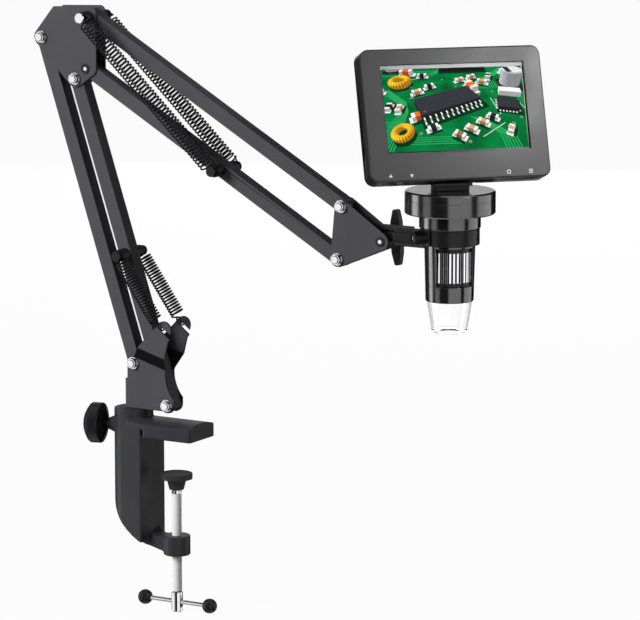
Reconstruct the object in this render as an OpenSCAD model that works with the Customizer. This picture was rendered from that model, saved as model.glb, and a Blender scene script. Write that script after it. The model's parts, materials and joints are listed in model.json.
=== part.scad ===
// Boom-arm digital microscope: table clamp, spring-balanced parallelogram arm,
// ring holder and a microscope with a tilting display head.
// Frame: origin on the screw axis at the upper jaw's contact face,
// +X from the clamp towards the microscope, +Z up, the arm in the XZ plane.

/* [Arm] */
// Lower arm, pivot to pivot
lower_len = 232.4; // [160:0.1:320]
// Upper arm, pivot to pivot
upper_len = 230.1; // [160:0.1:320]
// Lean of the lower arm behind the vertical
lower_lean = 18.3; // [0:0.1:26]
// Fall of the upper arm below the horizontal
upper_fall = 30.1; // [0:0.1:50]
// Side of the square tube
tube_w = 9.8; // [8:0.1:12]
// Wall of the square tube
tube_wall = 1; // [0.6:0.1:1.6]
// Sheet thickness of the brackets
sheet_t = 1.2; // [1:0.1:2]
// Radius of the pivot bolts
bolt_r = 2.5; // [2:0.1:3]
// Offset from rear to front pivot, along X and down
pivot_step = 27.3; // [24:0.1:32]
// Half spread of the spring pins either side of the arm
spring_y = 14; // [12:0.1:17]

/* [Springs] */
// Mean coil radius
coil_r = 3.8; // [3:0.1:5]
// Wire radius
wire_r = 0.5; // [0.3:0.05:0.7]
// Coils of a lower spring
lower_coils = 22; // [16:1:30]
// Coils of an upper spring
upper_coils = 43; // [30:1:50]
// Place of the lower spring pin along the front bar
lower_pin_at = 107.5; // [90:0.5:130]
// Place of the upper spring pin along the bottom bar
upper_pin_at = 124; // [100:0.5:150]

/* [Clamp] */
// Width of the upper jaw
jaw_w = 32; // [28:0.5:44]
// Reach of the jaw in front of the screw axis
jaw_front = 21; // [16:0.5:30]
// Thickness of the jaw at its edge
jaw_t = 9.1; // [7:0.1:14]
// Depth of the throat below the upper jaw
throat_d = 70; // [50:1:90]
// Radius of the arm socket
socket_r = 13.5; // [11:0.1:16]
// Radius of the arm post
post_r = 5; // [4:0.1:6]
// Radius of the clamp screw
screw_r = 3.4; // [3:0.1:4]
// Desk thickness that the clamp is set to
desk_t = 25.4; // [8:0.1:60]

/* [Holder] */
// Distance from the tilt bolt to the microscope axis
ring_reach = 48.8; // [44:0.1:60]
// Outer radius of the ring
ring_r = 19.5; // [18:0.1:24]
// Height of the ring
ring_h = 10.6; // [8:0.1:16]

/* [Microscope] */
// Radius of the barrel in the ring
barrel_r = 16.7; // [15:0.1:18]
// Radius of the barrel at its lower end
nose_r = 15.8; // [14:0.1:16.4]
// Length of the barrel below the ring
barrel_drop = 37.4; // [34:0.1:60]
// Radius of the head disk
disk_r = 29.75; // [26:0.05:36]
// Height of the head disk
disk_h = 15.2; // [12:0.1:22]
// Length of the clear cap
cap_len = 21.1; // [16:0.1:32]

/* [Display] */
// Width of the display housing
lcd_w = 122; // [116:0.5:150]
// Height of the display housing
lcd_h = 87.2; // [82:0.1:110]
// Depth of the display housing
lcd_d = 16; // [14:0.1:22]
// Corner radius of the housing
lcd_corner = 6; // [3:0.5:10]
// Width of the screen opening
screen_w = 96.7; // [90:0.1:98]
// Height of the screen opening
screen_h = 57.8; // [54:0.1:60]
// Backward tilt of the display
lcd_tilt = 18.8; // [0:0.1:60]
// Turn of the head about the microscope axis
lcd_turn = 46.3; // [0:0.1:90]

/* [Hidden] */

$fn = 48;
fit = 0.05;          // radial clearance of a running fit
side_gap = 0.15;     // gap between a bar and the sheet beside it
loose = 0.3;         // clearance of parts that pass without guiding
eps = 0.01;

half_in = tube_w / 2 + side_gap;
half_out = half_in + sheet_t;

// Pivot points in the arm plane, as [x, z]
function polar(r, a) = [r * cos(a), r * sin(a)];
lower_dir = 90 + lower_lean;
upper_dir = -upper_fall;
post_x = -34.6;
rear_pivot = [-30.8, 49.6];
front_pivot = rear_pivot + [pivot_step, -pivot_step];
elbow_rear = rear_pivot + polar(lower_len, lower_dir);
elbow_front = front_pivot + polar(lower_len, lower_dir);
elbow_top = elbow_rear + [38.7, 15.4];
elbow_low = elbow_rear + [35.9, -20.1];
end_top = elbow_top + polar(upper_len, upper_dir);
end_low = elbow_low + polar(upper_len, upper_dir);
tilt_pivot = end_top + [29.7, -21.3];
lower_pin = front_pivot + polar(lower_pin_at, lower_dir);
upper_pin = elbow_low + polar(upper_pin_at, upper_dir);

bush_r = 3.4;
bush_flange_r = 4.6;
bar_end_r = 5.5;
washer_r = 4.3;
washer_t = 0.8;
nut_r = 3.5;
nut_h = 2.2;
head_r = 4.2;
head_h = 2.4;
pin_r = 2.5;
pin_cap_r = 3.5;
pin_cap_t = 1.5;
sleeve_r = 4.3;
loop_r = pin_r + wire_r + 0.3;

// Clamp
socket_top = 17.5;
jaw_crown = 2.6;
throat_x = -19.5;
frame_bottom = -throat_d - 12.7;
boss_r = 9.3;
knob_z = 5;
knob_dir = 195;
screw_head_r = 3.9;
screw_head_h = 13.5;
screw_shown = 26.8;
pad_top = -desk_t;
ball_r = 3.2;
tommy_r = 1.5;
tommy_half = 26.3;
tommy_ball_r = 5.15;
tommy_drop = 6.6;

// Base bracket
post_washer_t = 0.5;
bracket_z = socket_top + post_washer_t;
ear_out = 13;
hook_pt = [-2.3, 75.8];
bend_a = [-30.8, 54.2];
bend_b = [-4.7, 46.7];

// Holder
rod_r = 6.25;
rod_rise = 3.6;
stem_r = 4;
axis_x = tilt_pivot[0] + ring_reach;
rod_z = tilt_pivot[1] + rod_rise;
ring_z = tilt_pivot[1] + 1.9;
ring_top = ring_z + ring_h;
lug_dir = -123.5;
slit_dir = -101.5;
lug_r = 4.9;
lug_end = 27.7;

// Microscope
collar_r = 20.2;
collar_h = 9.6;
disk_z = ring_top + collar_h;
disk_top = disk_z + disk_h;
nose_z = ring_z - barrel_drop;
window_h = 25.1;
window_z = ring_z - 1.6 - window_h;
window_dir = -45;
wheel_r = 14.6;
barrel_in = 13.2;
cap_r = 14.8;
cap_tip_r = 11.75;
cap_wall = 1.2;

// Display head, in its own frame: origin on the hinge axis, +X to the viewer's
// right, +Y into the screen, +Z up the screen
hinge_rise = 16.7;
hinge_front = 2.4;
hinge_behind = 4.7;
hinge_above = 13.8;
hinge_r = 6;
neck_w = 25.4;
neck_d = 16.8;
neck_foot_h = 3.2;
front_y = -hinge_behind - lcd_d;
frame_depth = 9;
lcd_x = -0.4;
lcd_low = -hinge_above;
lcd_mid = lcd_low + lcd_h / 2;
screen_x = 0.1;
screen_mid = lcd_mid + 4.1;
shell_t = 2;
panel_w = 105.5;
panel_h = 67.2;
panel_t = 3;
key_z = 2.6;
key_x = [-47.9, -33.8, 31.7, 46.7];
key_w = 7.6;
key_d = 3.6;
key_travel = 0.6;

paint = [0.30, 0.30, 0.32];
dark = [0.08, 0.08, 0.09];
steel = [0.80, 0.80, 0.82];

// ---------- helpers ----------

// Extrudes an [x, z] outline from y0 to y1
module in_xz(y0, y1) {
    translate([0, y1, 0]) rotate([90, 0, 0]) linear_extrude(y1 - y0) children();
}

// A round rod along +Y at the point p of the arm plane
module y_rod(p, r, y0, y1) {
    translate([p[0], y0, p[1]]) rotate([-90, 0, 0]) cylinder(r = r, h = y1 - y0);
}

// Outer tangent points of two circles [x, z, r], on the right of the walk
function tangent_pair(a, b) =
    let (d = [b[0] - a[0], b[1] - a[1]], l = norm(d), u = d / l, k = (a[2] - b[2]) / l)
    let (n = u * k + [u[1], -u[0]] * sqrt(1 - k * k))
    [[a[0], a[1]] + n * a[2], [b[0], b[1]] + n * b[2]];

// Plate outline round a loop of circles, listed anticlockwise
module round_outline(c) {
    n = len(c);
    polygon([for (i = [0:n - 1]) each tangent_pair(c[i], c[(i + 1) % n])]);
    for (p = c) translate([p[0], p[1]]) circle(p[2]);
}

// Copies for the near and the far side of the arm
module both_sides() {
    children();
    mirror([0, 1, 0]) children();
}

// Square tube from pivot p in direction a, round at both ends, bored for its bushes
module arm_bar(p, a, length, extra = []) {
    translate([p[0], 0, p[1]]) rotate([0, -a, 0]) difference() {
        intersection() {
            translate([-bar_end_r, -tube_w / 2, -tube_w / 2])
                cube([length + 2 * bar_end_r, tube_w, tube_w]);
            union() {
                in_xz(-tube_w, tube_w) translate([0, -tube_w]) square([length, 2 * tube_w]);
                y_rod([0, 0], bar_end_r, -tube_w, tube_w);
                y_rod([length, 0], bar_end_r, -tube_w, tube_w);
            }
        }
        inner = tube_w - 2 * tube_wall;
        translate([-2 * bar_end_r, -inner / 2, -inner / 2])
            cube([length + 4 * bar_end_r, inner, inner]);
        for (x = [0, length]) y_rod([x, 0], bush_r, -tube_w, tube_w);
        for (x = extra) y_rod([x, 0], pin_r, -tube_w, tube_w);
    }
}

// Sleeve through the tube at each end of a bar, just proud of it to space the sheet
module bar_bushes(p, a, length) {
    for (s = [0, length]) {
        q = p + polar(s, a);
        difference() {
            y_rod(q, bush_r, -half_in + 0.03, half_in - 0.03);
            y_rod(q, bolt_r + fit, -half_in - 1, half_in + 1);
        }
    }
}

// Pivot bolt: head on the far side, washer and domed round nut on the near side
module pivot_bolt(p) {
    shank_end = -half_out - washer_t - nut_h - 0.6;
    y_rod(p, bolt_r, shank_end, half_out);
    intersection() {
        y_rod(p, head_r, half_out, half_out + head_h);
        translate([p[0], half_out - 3, p[1]]) sphere(head_r + 1.3);
    }
    difference() {
        y_rod(p, washer_r, -half_out - washer_t, -half_out);
        y_rod(p, bolt_r + fit, -half_out - 1, -half_out + 1);
    }
    difference() {
        y_rod(p, nut_r, -half_out - washer_t - nut_h, -half_out - washer_t);
        y_rod(p, bolt_r + fit, -half_out - washer_t - nut_h - 1, -half_out);
    }
}

// Cross pin with a cap at each end, for the loops of two springs
module cross_pin(p) {
    y_rod(p, pin_r, -spring_y - 2, spring_y + 2);
    both_sides() y_rod(p, pin_cap_r, spring_y + 2, spring_y + 2 + pin_cap_t);
}

// Rubber sleeve on a cross pin, from y0 to the spring loop
module pin_sleeve(p, y0) {
    both_sides() difference() {
        y_rod(p, sleeve_r, y0, spring_y - wire_r - 0.3);
        y_rod(p, pin_r + fit, 0, spring_y + 5);
    }
}

// ---------- springs ----------

wire_sides = 4;
turn_steps = 8;
ear_hook_r = 3.2;

function unit(v) = v / norm(v);

// Wire centre line along local X, with a loop round a pin at the start. It ends in
// the same loop, or, where ear is 1 or -1, in a hook through a plate on that side.
function spring_path(l, turns, ear = 0) =
    let (x0 = loop_r + 1.6)
    let (x1 = l - (ear == 0 ? x0 : 2 * ear_hook_r + 2.1))
    let (steps = turns * turn_steps, arc = 230 / 9)
    concat(
        [for (i = [0:9]) let (t = 40 + arc * i) [loop_r * cos(t), 0, loop_r * sin(t)]],
        [for (i = [0:steps]) let (t = 360 * i / turn_steps - 90)
            [x0 + (x1 - x0) * i / steps, coil_r * cos(t), coil_r * sin(t)]],
        ear == 0
            ? [for (i = [0:9]) let (t = -90 + arc * i) [l + loop_r * cos(t), 0, loop_r * sin(t)]]
            : [for (i = [0:10]) let (t = 150 - 30 * i)
                [l - ear_hook_r * (1 - cos(t)), ear * (-1.6 + ear_hook_r * sin(t)), 0]]
    );

// Frame carried along the path without twist
function carry(v, t) = unit(v - t * (v * t));
function tangents(p) =
    [for (i = [0:len(p) - 1]) unit(p[min(i + 1, len(p) - 1)] - p[max(i - 1, 0)])];
function frames(t) =
    [for (i = 0, v = carry([0, 1, 0.01], t[0]); i < len(t);
        i = i + 1, v = carry(v, t[min(i, len(t) - 1)])) v];

module wire(path) {
    t = tangents(path);
    f = frames(t);
    n = len(path);
    rings = [for (i = [0:n - 1]) let (v = carry(f[i], t[i]), w = cross(t[i], v))
        each [for (k = [0:wire_sides - 1]) let (a = 360 * k / wire_sides)
            path[i] + wire_r * (v * cos(a) + w * sin(a))]];
    sides = [for (i = [0:n - 2]) each [for (k = [0:wire_sides - 1])
        let (m = (k + 1) % wire_sides, a = i * wire_sides)
        [a + k, a + wire_sides + k, a + wire_sides + m, a + m]]];
    first = [for (k = [0:wire_sides - 1]) k];
    last = [for (k = [wire_sides - 1:-1:0]) (n - 1) * wire_sides + k];
    polyhedron(rings, concat(sides, [first], [last]));
}

// A pair of extension springs between two points of the arm plane
module spring_pair(p, q, turns, hooked = false) {
    d = q - p;
    for (side = [-1, 1])
        translate([p[0], side * spring_y, p[1]])
            rotate([0, -atan2(d[1], d[0]), 0])
                wire(spring_path(norm(d), turns, hooked ? side : 0));
}

// ---------- clamp ----------

module jaw_plan() {
    r = 1.5;
    round_outline([
        [post_x, 0, socket_r],
        [throat_x + 4, -jaw_w / 2 + r, r],
        [jaw_front - r, -jaw_w / 2 + r, r],
        [jaw_front - r, jaw_w / 2 - r, r],
        [throat_x + 4, jaw_w / 2 - r, r]
    ]);
}

// Side outline of the spine, with its rounded foot
module spine_side() {
    left = post_x - socket_r - 0.4;
    cz = frame_bottom + 50.4;
    translate([left, cz]) square([-left, jaw_t - cz - 0.5]);
    translate([left + 45, cz]) circle(45, $fn = 96);
}

// Side outline of the lower arm, from the foot of the spine to the screw's boss
module arm_side() {
    left = post_x - socket_r - 0.4;
    intersection() {
        translate([left + 38.1, frame_bottom + 42.3]) circle(38.1, $fn = 96);
        translate([-60, frame_bottom - 5]) square([40.2, 30]);
    }
    polygon([
        [-19.9, frame_bottom + 5.75], [0, frame_bottom + 0.7], [0, -throat_d], [-19.9, -throat_d]
    ]);
}

module clamp_frame() {
    color(paint) difference() {
        union() {
            // upper jaw with its crowned top
            crown_r = (pow(jaw_w / 2, 2) + pow(jaw_crown, 2)) / (2 * jaw_crown);
            reach = asin((jaw_w / 2 + 1) / crown_r);
            intersection() {
                linear_extrude(jaw_t + jaw_crown + 2) jaw_plan();
                rotate([90, 0, 90]) translate([0, 0, post_x + 3])
                    linear_extrude(jaw_front - post_x + 1) polygon(concat(
                        [[-jaw_w / 2 - 1, 0], [jaw_w / 2 + 1, 0]],
                        [for (i = [8:-1:-8]) let (t = reach * i / 8)
                            [crown_r * sin(t), jaw_t + jaw_crown - crown_r * (1 - cos(t))]]
                    ));
            }
            // spine
            intersection() {
                in_xz(-jaw_w, jaw_w) difference() {
                    spine_side();
                    translate([throat_x, -200]) square([100, 300]);
                }
                translate([0, 0, frame_bottom - 5]) linear_extrude(jaw_t - frame_bottom + 4) jaw_plan();
            }
            // lower arm
            in_xz(-7, 7) intersection() {
                arm_side();
                translate([-60, -200]) square([100, 200 - throat_d]);
            }
            // fillet at the foot of the throat
            in_xz(-7, 7) difference() {
                translate([throat_x - 2, -throat_d - 2]) square([10, 10]);
                translate([throat_x + 8, -throat_d + 8]) circle(8);
            }
            translate([0, 0, frame_bottom]) cylinder(r = boss_r, h = 13.7);
            translate([post_x, 0, 0]) cylinder(r = socket_r, h = socket_top);
            // boss of the lock stud
            translate([post_x, 0, knob_z]) rotate([0, 90, knob_dir]) {
                cylinder(r = 5.5, h = socket_r + 1);
                translate([0, 0, socket_r + 1]) cylinder(r1 = 5.5, r2 = 3.9, h = 3.9);
            }
        }
        translate([post_x, 0, -24]) cylinder(r = post_r + fit, h = 60);
        translate([post_x, 0, knob_z]) rotate([0, 90, knob_dir]) cylinder(r = 2.5 + fit, h = 40);
        translate([0, 0, frame_bottom - 1]) cylinder(r = screw_r + fit, h = 30);
        // relief groove in the inner corner of the jaw
        translate([throat_x, -jaw_w, -eps]) cube([2.1, 2 * jaw_w, 6]);
    }
}

module clamp_pad() {
    color(dark) difference() {
        union() {
            translate([0, 0, pad_top - 4]) cylinder(r = 11, h = 4);
            translate([0, 0, pad_top - 11.5]) cylinder(r1 = 5, r2 = 7, h = 8);
        }
        translate([0, 0, pad_top - 7.6]) sphere(ball_r + 0.1);
        translate([0, 0, pad_top - 14]) cylinder(r = 2.6, h = 5);
    }
}

screw_low = frame_bottom - screw_shown;

module clamp_screw() {
    color(steel) difference() {
        union() {
            translate([0, 0, pad_top - 7.6]) sphere(ball_r);
            translate([0, 0, pad_top - 13.5]) cylinder(r = 2.2, h = 5);
            translate([0, 0, screw_low]) cylinder(r = screw_r, h = pad_top - 12.5 - screw_low);
            translate([0, 0, screw_low - screw_head_h + 0.8]) cylinder(r = screw_head_r, h = screw_head_h - 0.8);
            translate([0, 0, screw_low - screw_head_h])
                cylinder(r1 = screw_head_r - 0.8, r2 = screw_head_r, h = 0.8);
        }
        translate([-20, 0, screw_low - tommy_drop]) rotate([0, 90, 0])
            cylinder(r = tommy_r + fit, h = 40);
    }
}

module tommy_bar() {
    color(steel) translate([0, 0, screw_low - tommy_drop]) {
        translate([-tommy_half, 0, 0]) rotate([0, 90, 0]) cylinder(r = tommy_r, h = 2 * tommy_half);
        for (s = [-1, 1]) translate([s * tommy_half, 0, 0]) sphere(tommy_ball_r);
    }
}

// Places a turned part on the lock stud's axis, its own +Z pointing away from the socket
module on_lock_axis() {
    translate([post_x, 0, knob_z]) rotate([0, 90, knob_dir]) children();
}

lock_neck = 19.4;
lock_rim = 22.6;
lock_back = 30.8;
lock_tip = 35.8;
lock_r = 14.05;

module lock_knob() {
    rise = lock_tip - lock_back;
    dome_r = (pow(lock_r - 0.6, 2) + rise * rise) / (2 * rise);
    color(dark) on_lock_axis() difference() {
        rotate_extrude($fn = 72) {
            polygon([
                [0, lock_neck], [4.5, lock_neck], [lock_r - 0.5, lock_rim],
                [lock_r, lock_rim + 0.6], [lock_r, lock_back - 0.6], [lock_r - 0.6, lock_back],
                [0, lock_back]
            ]);
            intersection() {
                translate([0, lock_tip - dome_r]) circle(dome_r, $fn = 96);
                translate([0, lock_back - 0.2]) square([lock_r - 0.6, 20]);
            }
        }
        translate([0, 0, lock_neck - 1]) cylinder(r = 2.5, h = 13);
        // recess round the stud
        translate([0, 0, lock_neck - 1]) cylinder(r = 3.4, h = 3);
    }
}

module lock_stud() {
    color(steel) on_lock_axis() {
        translate([0, 0, post_r + 0.15]) cylinder(r = 2.5, h = lock_neck + 12 - post_r - 0.15);
    }
}

// ---------- base bracket ----------

module base_flange_outline() {
    difference() {
        union() {
            polygon([
                [-35.6, bracket_z], [-3.2, bracket_z], [1.8, 22.3], [1.8, 27], bend_b,
                bend_a, [-35.6, 50.6]
            ]);
            translate(rear_pivot) circle(4.8);
            translate(front_pivot) circle(5.3);
        }
        translate([21, 44.5]) circle(26, $fn = 96);
    }
}

// Joggled ear with the hook slot, on the far side of the arm
module spring_ear() {
    slope = atan2(bend_b[1] - bend_a[1], bend_b[0] - bend_a[0]);
    climb = 9.7;
    intersection() {
        in_xz(half_in - 1, ear_out + 1) difference() {
            union() {
                polygon([
                    [-31.5, 52.4], [-5.2, 44.9], [-4.4, 47.2], [-1.2, 56.2], [1.7, 67.6], [3, 69.1],
                    [4.3, 76.6], [-1.2, 76.6], [-5.12, 80.45], [-23.1, 62.1]
                ]);
                translate([-1.2, 76.6]) circle(5.5);
            }
            round_outline([[hook_pt[0], hook_pt[1], 1.3], [7, 68.6, 1.3]]);
        }
        translate([bend_a[0], 0, bend_a[1]]) rotate([0, -slope, 0]) translate([-5, 0, 0])
            rotate([90, 0, 90]) linear_extrude(50) polygon([
                [half_in, -sheet_t], [half_out, -sheet_t], [half_out, 0], [ear_out, climb],
                [ear_out, climb + 40], [ear_out - sheet_t, climb + 40], [ear_out - sheet_t, climb],
                [half_in, 0]
            ]);
    }
}

// Plan of the U bend behind the arm
web_top = 38.1;
module web_plan() {
    c = half_out - 2.9;
    difference() {
        union() {
            for (y = [-c, c]) translate([-35.6, y]) circle(2.9);
            translate([-38.5, -c]) square([2.9, 2 * c]);
        }
        for (y = [-c, c]) translate([-35.6, y]) circle(2.9 - sheet_t);
        translate([-38.5 + sheet_t, -c]) square([5, 2 * c]);
        translate([-35.5, -half_out - 1]) square([6, 2 * half_out + 2]);
    }
}

module base_bracket() {
    color(paint) difference() {
        union() {
            both_sides() {
                in_xz(half_in, half_out) base_flange_outline();
                spring_ear();
            }
            // rear web with its rounded bends, and the floor that carries the post
            translate([0, 0, bracket_z]) linear_extrude(web_top - bracket_z) web_plan();
            translate([-35.7, -half_out + 0.3, bracket_z]) cube([21.9, 2 * half_out - 0.6, sheet_t]);
        }
        y_rod(rear_pivot, bolt_r, -20, 20);
        y_rod(front_pivot, bolt_r, -20, 20);
        translate([post_x + 0.6, 0, 0]) cylinder(r = 2.2, h = 30);
    }
}

module base_post() {
    color(steel) {
        translate([post_x, 0, -20]) cylinder(r1 = post_r - 0.8, r2 = post_r, h = 0.8);
        translate([post_x, 0, -19.2]) cylinder(r = post_r, h = 19.2 + bracket_z);
        // riveted tail through the bracket floor
        translate([post_x + 0.6, 0, 0]) cylinder(r = 2.2, h = bracket_z + sheet_t);
        translate([post_x + 0.6 + 0.8, 0, bracket_z + sheet_t]) cylinder(r = 3.3, h = 1.2);
    }
}

module base_washer() {
    color([0.15, 0.15, 0.16]) translate([post_x, 0, socket_top]) difference() {
        cylinder(r = 10, h = post_washer_t);
        translate([0, 0, -1]) cylinder(r = post_r + fit, h = 3);
    }
}

module base_bolts() {
    color(steel) {
        pivot_bolt(rear_pivot);
        pivot_bolt(front_pivot);
    }
}

// ---------- arm ----------

module lower_rear_bar() { color(paint) arm_bar(rear_pivot, lower_dir, lower_len); }
module lower_rear_bushes() { color("white") bar_bushes(rear_pivot, lower_dir, lower_len); }
module lower_front_bar() { color(paint) arm_bar(front_pivot, lower_dir, lower_len, [lower_pin_at]); }
module lower_front_bushes() { color("white") bar_bushes(front_pivot, lower_dir, lower_len); }
module lower_spring_pin() { color(steel) cross_pin(lower_pin); }
module lower_pin_sleeves() { color(dark) pin_sleeve(lower_pin, tube_w / 2); }
module lower_springs() { color(dark) spring_pair(lower_pin, hook_pt, lower_coils, true); }

module elbow_plates() {
    outline = [
        [elbow_front[0], elbow_front[1], 6],
        [elbow_low[0] + 3.6, elbow_low[1] + 0.4, 5.2],
        [elbow_top[0] + 2, elbow_top[1] + 3.2, 4.2],
        [elbow_rear[0] + 10.6, elbow_rear[1] + 20.3, 1.2],
        [elbow_rear[0], elbow_rear[1], 6]
    ];
    color(paint) both_sides() in_xz(half_in, half_out) difference() {
        round_outline(outline);
        for (p = [elbow_rear, elbow_front, elbow_top, elbow_low]) translate(p) circle(bolt_r);
    }
}

module elbow_bolts() {
    color(steel) {
        pivot_bolt(elbow_rear);
        pivot_bolt(elbow_front);
    }
}

// Hollow rivet: a rolled rim on each side of the plates
module hollow_rivet(p) {
    difference() {
        union() {
            y_rod(p, bolt_r, -half_out - 0.7, half_out + 0.7);
            both_sides() y_rod(p, 3.4, half_out, half_out + 0.7);
        }
        y_rod(p, 1.7, -20, 20);
    }
}

module elbow_rivet() { color(dark) hollow_rivet(elbow_low); }
module elbow_spring_pin() { color(steel) cross_pin(elbow_top); }
module elbow_pin_sleeves() { color(dark) pin_sleeve(elbow_top, half_out); }

module upper_top_bar() { color(paint) arm_bar(elbow_top, upper_dir, upper_len); }
module upper_top_bushes() { color("white") bar_bushes(elbow_top, upper_dir, upper_len); }
module upper_bottom_bar() { color(paint) arm_bar(elbow_low, upper_dir, upper_len, [upper_pin_at]); }
module upper_bottom_bushes() { color("white") bar_bushes(elbow_low, upper_dir, upper_len); }
module upper_spring_pin() { color(steel) cross_pin(upper_pin); }
module upper_pin_sleeves() { color(dark) pin_sleeve(upper_pin, tube_w / 2); }
module upper_springs() { color(dark) spring_pair(elbow_top, upper_pin, upper_coils); }

module end_plates() {
    outline = [
        [end_low[0], end_low[1], 5.2],
        [tilt_pivot[0], tilt_pivot[1], 6],
        [end_top[0], end_top[1], 4.8]
    ];
    color(paint) both_sides() in_xz(half_in, half_out) difference() {
        round_outline(outline);
        for (p = [end_low, end_top]) translate(p) circle(bolt_r);
        translate(tilt_pivot) circle(bolt_r);
    }
}

module end_bolts() {
    color(steel) {
        pivot_bolt(end_top);
        pivot_bolt(end_low);
    }
}

// ---------- holder ----------

wing_y = half_out + 0.6;
wing_hub_h = 9.5;

module tilt_bolt() {
    color(steel) difference() {
        union() {
            y_rod(tilt_pivot, bolt_r, -half_out - 0.7, wing_y + wing_hub_h + 1.5);
            y_rod(tilt_pivot, 3.4, -half_out - 0.7, -half_out);
        }
        y_rod(tilt_pivot, 1.7, -half_out - 2, -half_out + 1.5);
    }
}

module wing_knob() {
    color(dark) translate([tilt_pivot[0], wing_y, tilt_pivot[1]]) difference() {
        union() {
            rotate([-90, 0, 0]) cylinder(r1 = 4.7, r2 = 5.6, h = wing_hub_h);
            rotate([0, -3, 0]) for (s = [0, 180]) rotate([0, s, 0]) hull() {
                translate([-3.9, 6.9, 1.5]) cube([7.8, 5, 1]);
                translate([-3.5, 7.1, 9]) cube([7, 5.8, 1]);
                translate([-1.7, 7.6, 17.6]) cube([3.4, 5.4, 1]);
            }
        }
        rotate([-90, 0, 0]) translate([0, 0, -1]) cylinder(r = bolt_r + fit, h = 20);
    }
}

module ring_yoke() {
    plate_y = 2.4;
    rod_end = axis_x - 22;
    rod_start = tilt_pivot[0] + 9.5;
    color([0.52, 0.51, 0.48]) difference() {
        union() {
            // eye, flattened on its upper side
            in_xz(-half_in + side_gap, plate_y + 0.1) translate(tilt_pivot) intersection() {
                circle(6);
                polygon([[-9, 7.5], [9, -0.95], [9, -9], [-9, -9]]);
            }
            // plate that joins the eye to the strap beside the rod
            in_xz(plate_y, half_in - side_gap) translate(tilt_pivot) {
                circle(4.6);
                polygon([
                    [-10, 10.4], [20, 10.4], [20, 6.8], [-5.8, 6.8], [-4.2, 5.2], [3.6, 1.5],
                    [0.5, -3.9], [-3.6, -2.8], [-10, 4]
                ]);
            }
            translate([rod_start, 0, rod_z]) rotate([0, 90, 0]) cylinder(r = rod_r, h = rod_end - rod_start);
        }
        y_rod(tilt_pivot, bolt_r + fit, -20, 20);
        translate([rod_start + 6, 0, rod_z]) rotate([0, 90, 0]) cylinder(r = stem_r + fit, h = 40);
    }
}

module holder_ring() {
    stem_start = tilt_pivot[0] + 16.5;
    color(dark) difference() {
        union() {
            translate([axis_x, 0, ring_z]) cylinder(r = ring_r, h = ring_h, $fn = 96);
            translate([axis_x, 0, ring_z + ring_h / 2]) rotate([0, 90, lug_dir])
                cylinder(r = lug_r, h = lug_end);
            translate([stem_start, 0, rod_z]) rotate([0, 90, 0]) cylinder(r = stem_r, h = axis_x - stem_start);
            translate([axis_x - 21.8, 0, rod_z]) rotate([0, 90, 0]) cylinder(r = rod_r, h = 12);
        }
        translate([axis_x, 0, ring_z - 20]) cylinder(r = barrel_r + 0.08, h = 60, $fn = 96);
        translate([axis_x, 0, ring_z - 1]) rotate([0, 0, slit_dir]) translate([0, -0.7, 0])
            cube([ring_r + 5, 1.4, ring_h + 2]);
        translate([axis_x, 0, ring_z + ring_h / 2]) rotate([0, 90, lug_dir])
            cylinder(r = 2.5, h = 40);
    }
}

module ring_screw() {
    color(steel) translate([axis_x, 0, ring_z + ring_h / 2]) rotate([0, 90, lug_dir])
        difference() {
            translate([0, 0, barrel_r + 0.1]) cylinder(r = 2.5, h = lug_end - barrel_r - 1.1);
            translate([0, 0, lug_end - 4]) cylinder(r = 1.45, h = 5, $fn = 6);
        }
}

// ---------- microscope ----------

module at_axis(z) { translate([axis_x, 0, z]) children(); }

// Revolves an outline of [r, z] points about the microscope axis
module turned(points) { at_axis(0) rotate_extrude($fn = 96) polygon(points); }

module barrel() {
    seam = window_z - 0.4;
    r_seam = barrel_r + (nose_r - barrel_r) * (ring_z - seam) / barrel_drop;
    span = 50;
    color(dark) difference() {
        turned([
            [barrel_in, seam], [r_seam, seam], [barrel_r, ring_z], [barrel_r, ring_top],
            [barrel_r, disk_z], [barrel_in, disk_z]
        ]);
        // room for the wheel
        at_axis(seam - 1) cylinder(r = wheel_r + loose, h = window_h + 2, $fn = 96);
        // window through which the wheel is turned
        at_axis(window_z) rotate([0, 0, window_dir]) linear_extrude(window_h) polygon([
            [0, 0], polar(40, -span), polar(40, span)
        ]);
    }
}

module nose_ring() {
    seam = window_z - 0.4;
    r_seam = barrel_r + (nose_r - barrel_r) * (ring_z - seam) / barrel_drop;
    color(dark) turned([
        [cap_r - cap_wall - 2.2, seam], [cap_r - cap_wall - 2.2, seam - 3],
        [cap_r + fit, seam - 3], [cap_r + fit, nose_z],
        [nose_r - 0.4, nose_z], [nose_r, nose_z + 0.4], [r_seam, seam]
    ]);
}

module clear_cap() {
    z0 = nose_z - cap_len;
    r_edge = 2.4;
    color([0.85, 0.9, 0.95, 0.4]) at_axis(0) rotate_extrude($fn = 96) difference() {
        union() {
            polygon([
                [7, z0], [cap_tip_r - r_edge, z0], [cap_tip_r, z0 + r_edge],
                [cap_r, nose_z], [cap_r, nose_z + 7], [7, nose_z + 7]
            ]);
            translate([cap_tip_r - r_edge, z0 + r_edge]) circle(r_edge);
        }
        polygon([
            [0, z0 + cap_wall], [cap_tip_r - r_edge, z0 + cap_wall],
            [cap_tip_r - cap_wall, z0 + r_edge + 0.3], [cap_r - cap_wall, nose_z],
            [cap_r - cap_wall, nose_z + 8], [0, nose_z + 8]
        ]);
    }
}

led_z = nose_z + 5.4;

module led_board() {
    color([0.9, 0.9, 0.88]) turned([[7.4, led_z], [13.4, led_z], [13.4, led_z + 1.2], [7.4, led_z + 1.2]]);
}

module leds() {
    color([0.98, 0.95, 0.7]) for (i = [0:7]) at_axis(led_z - 0.9) rotate([0, 0, 45 * i])
        translate([9, -1.4, 0]) cube([2.8, 2.8, 0.9]);
}

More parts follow.
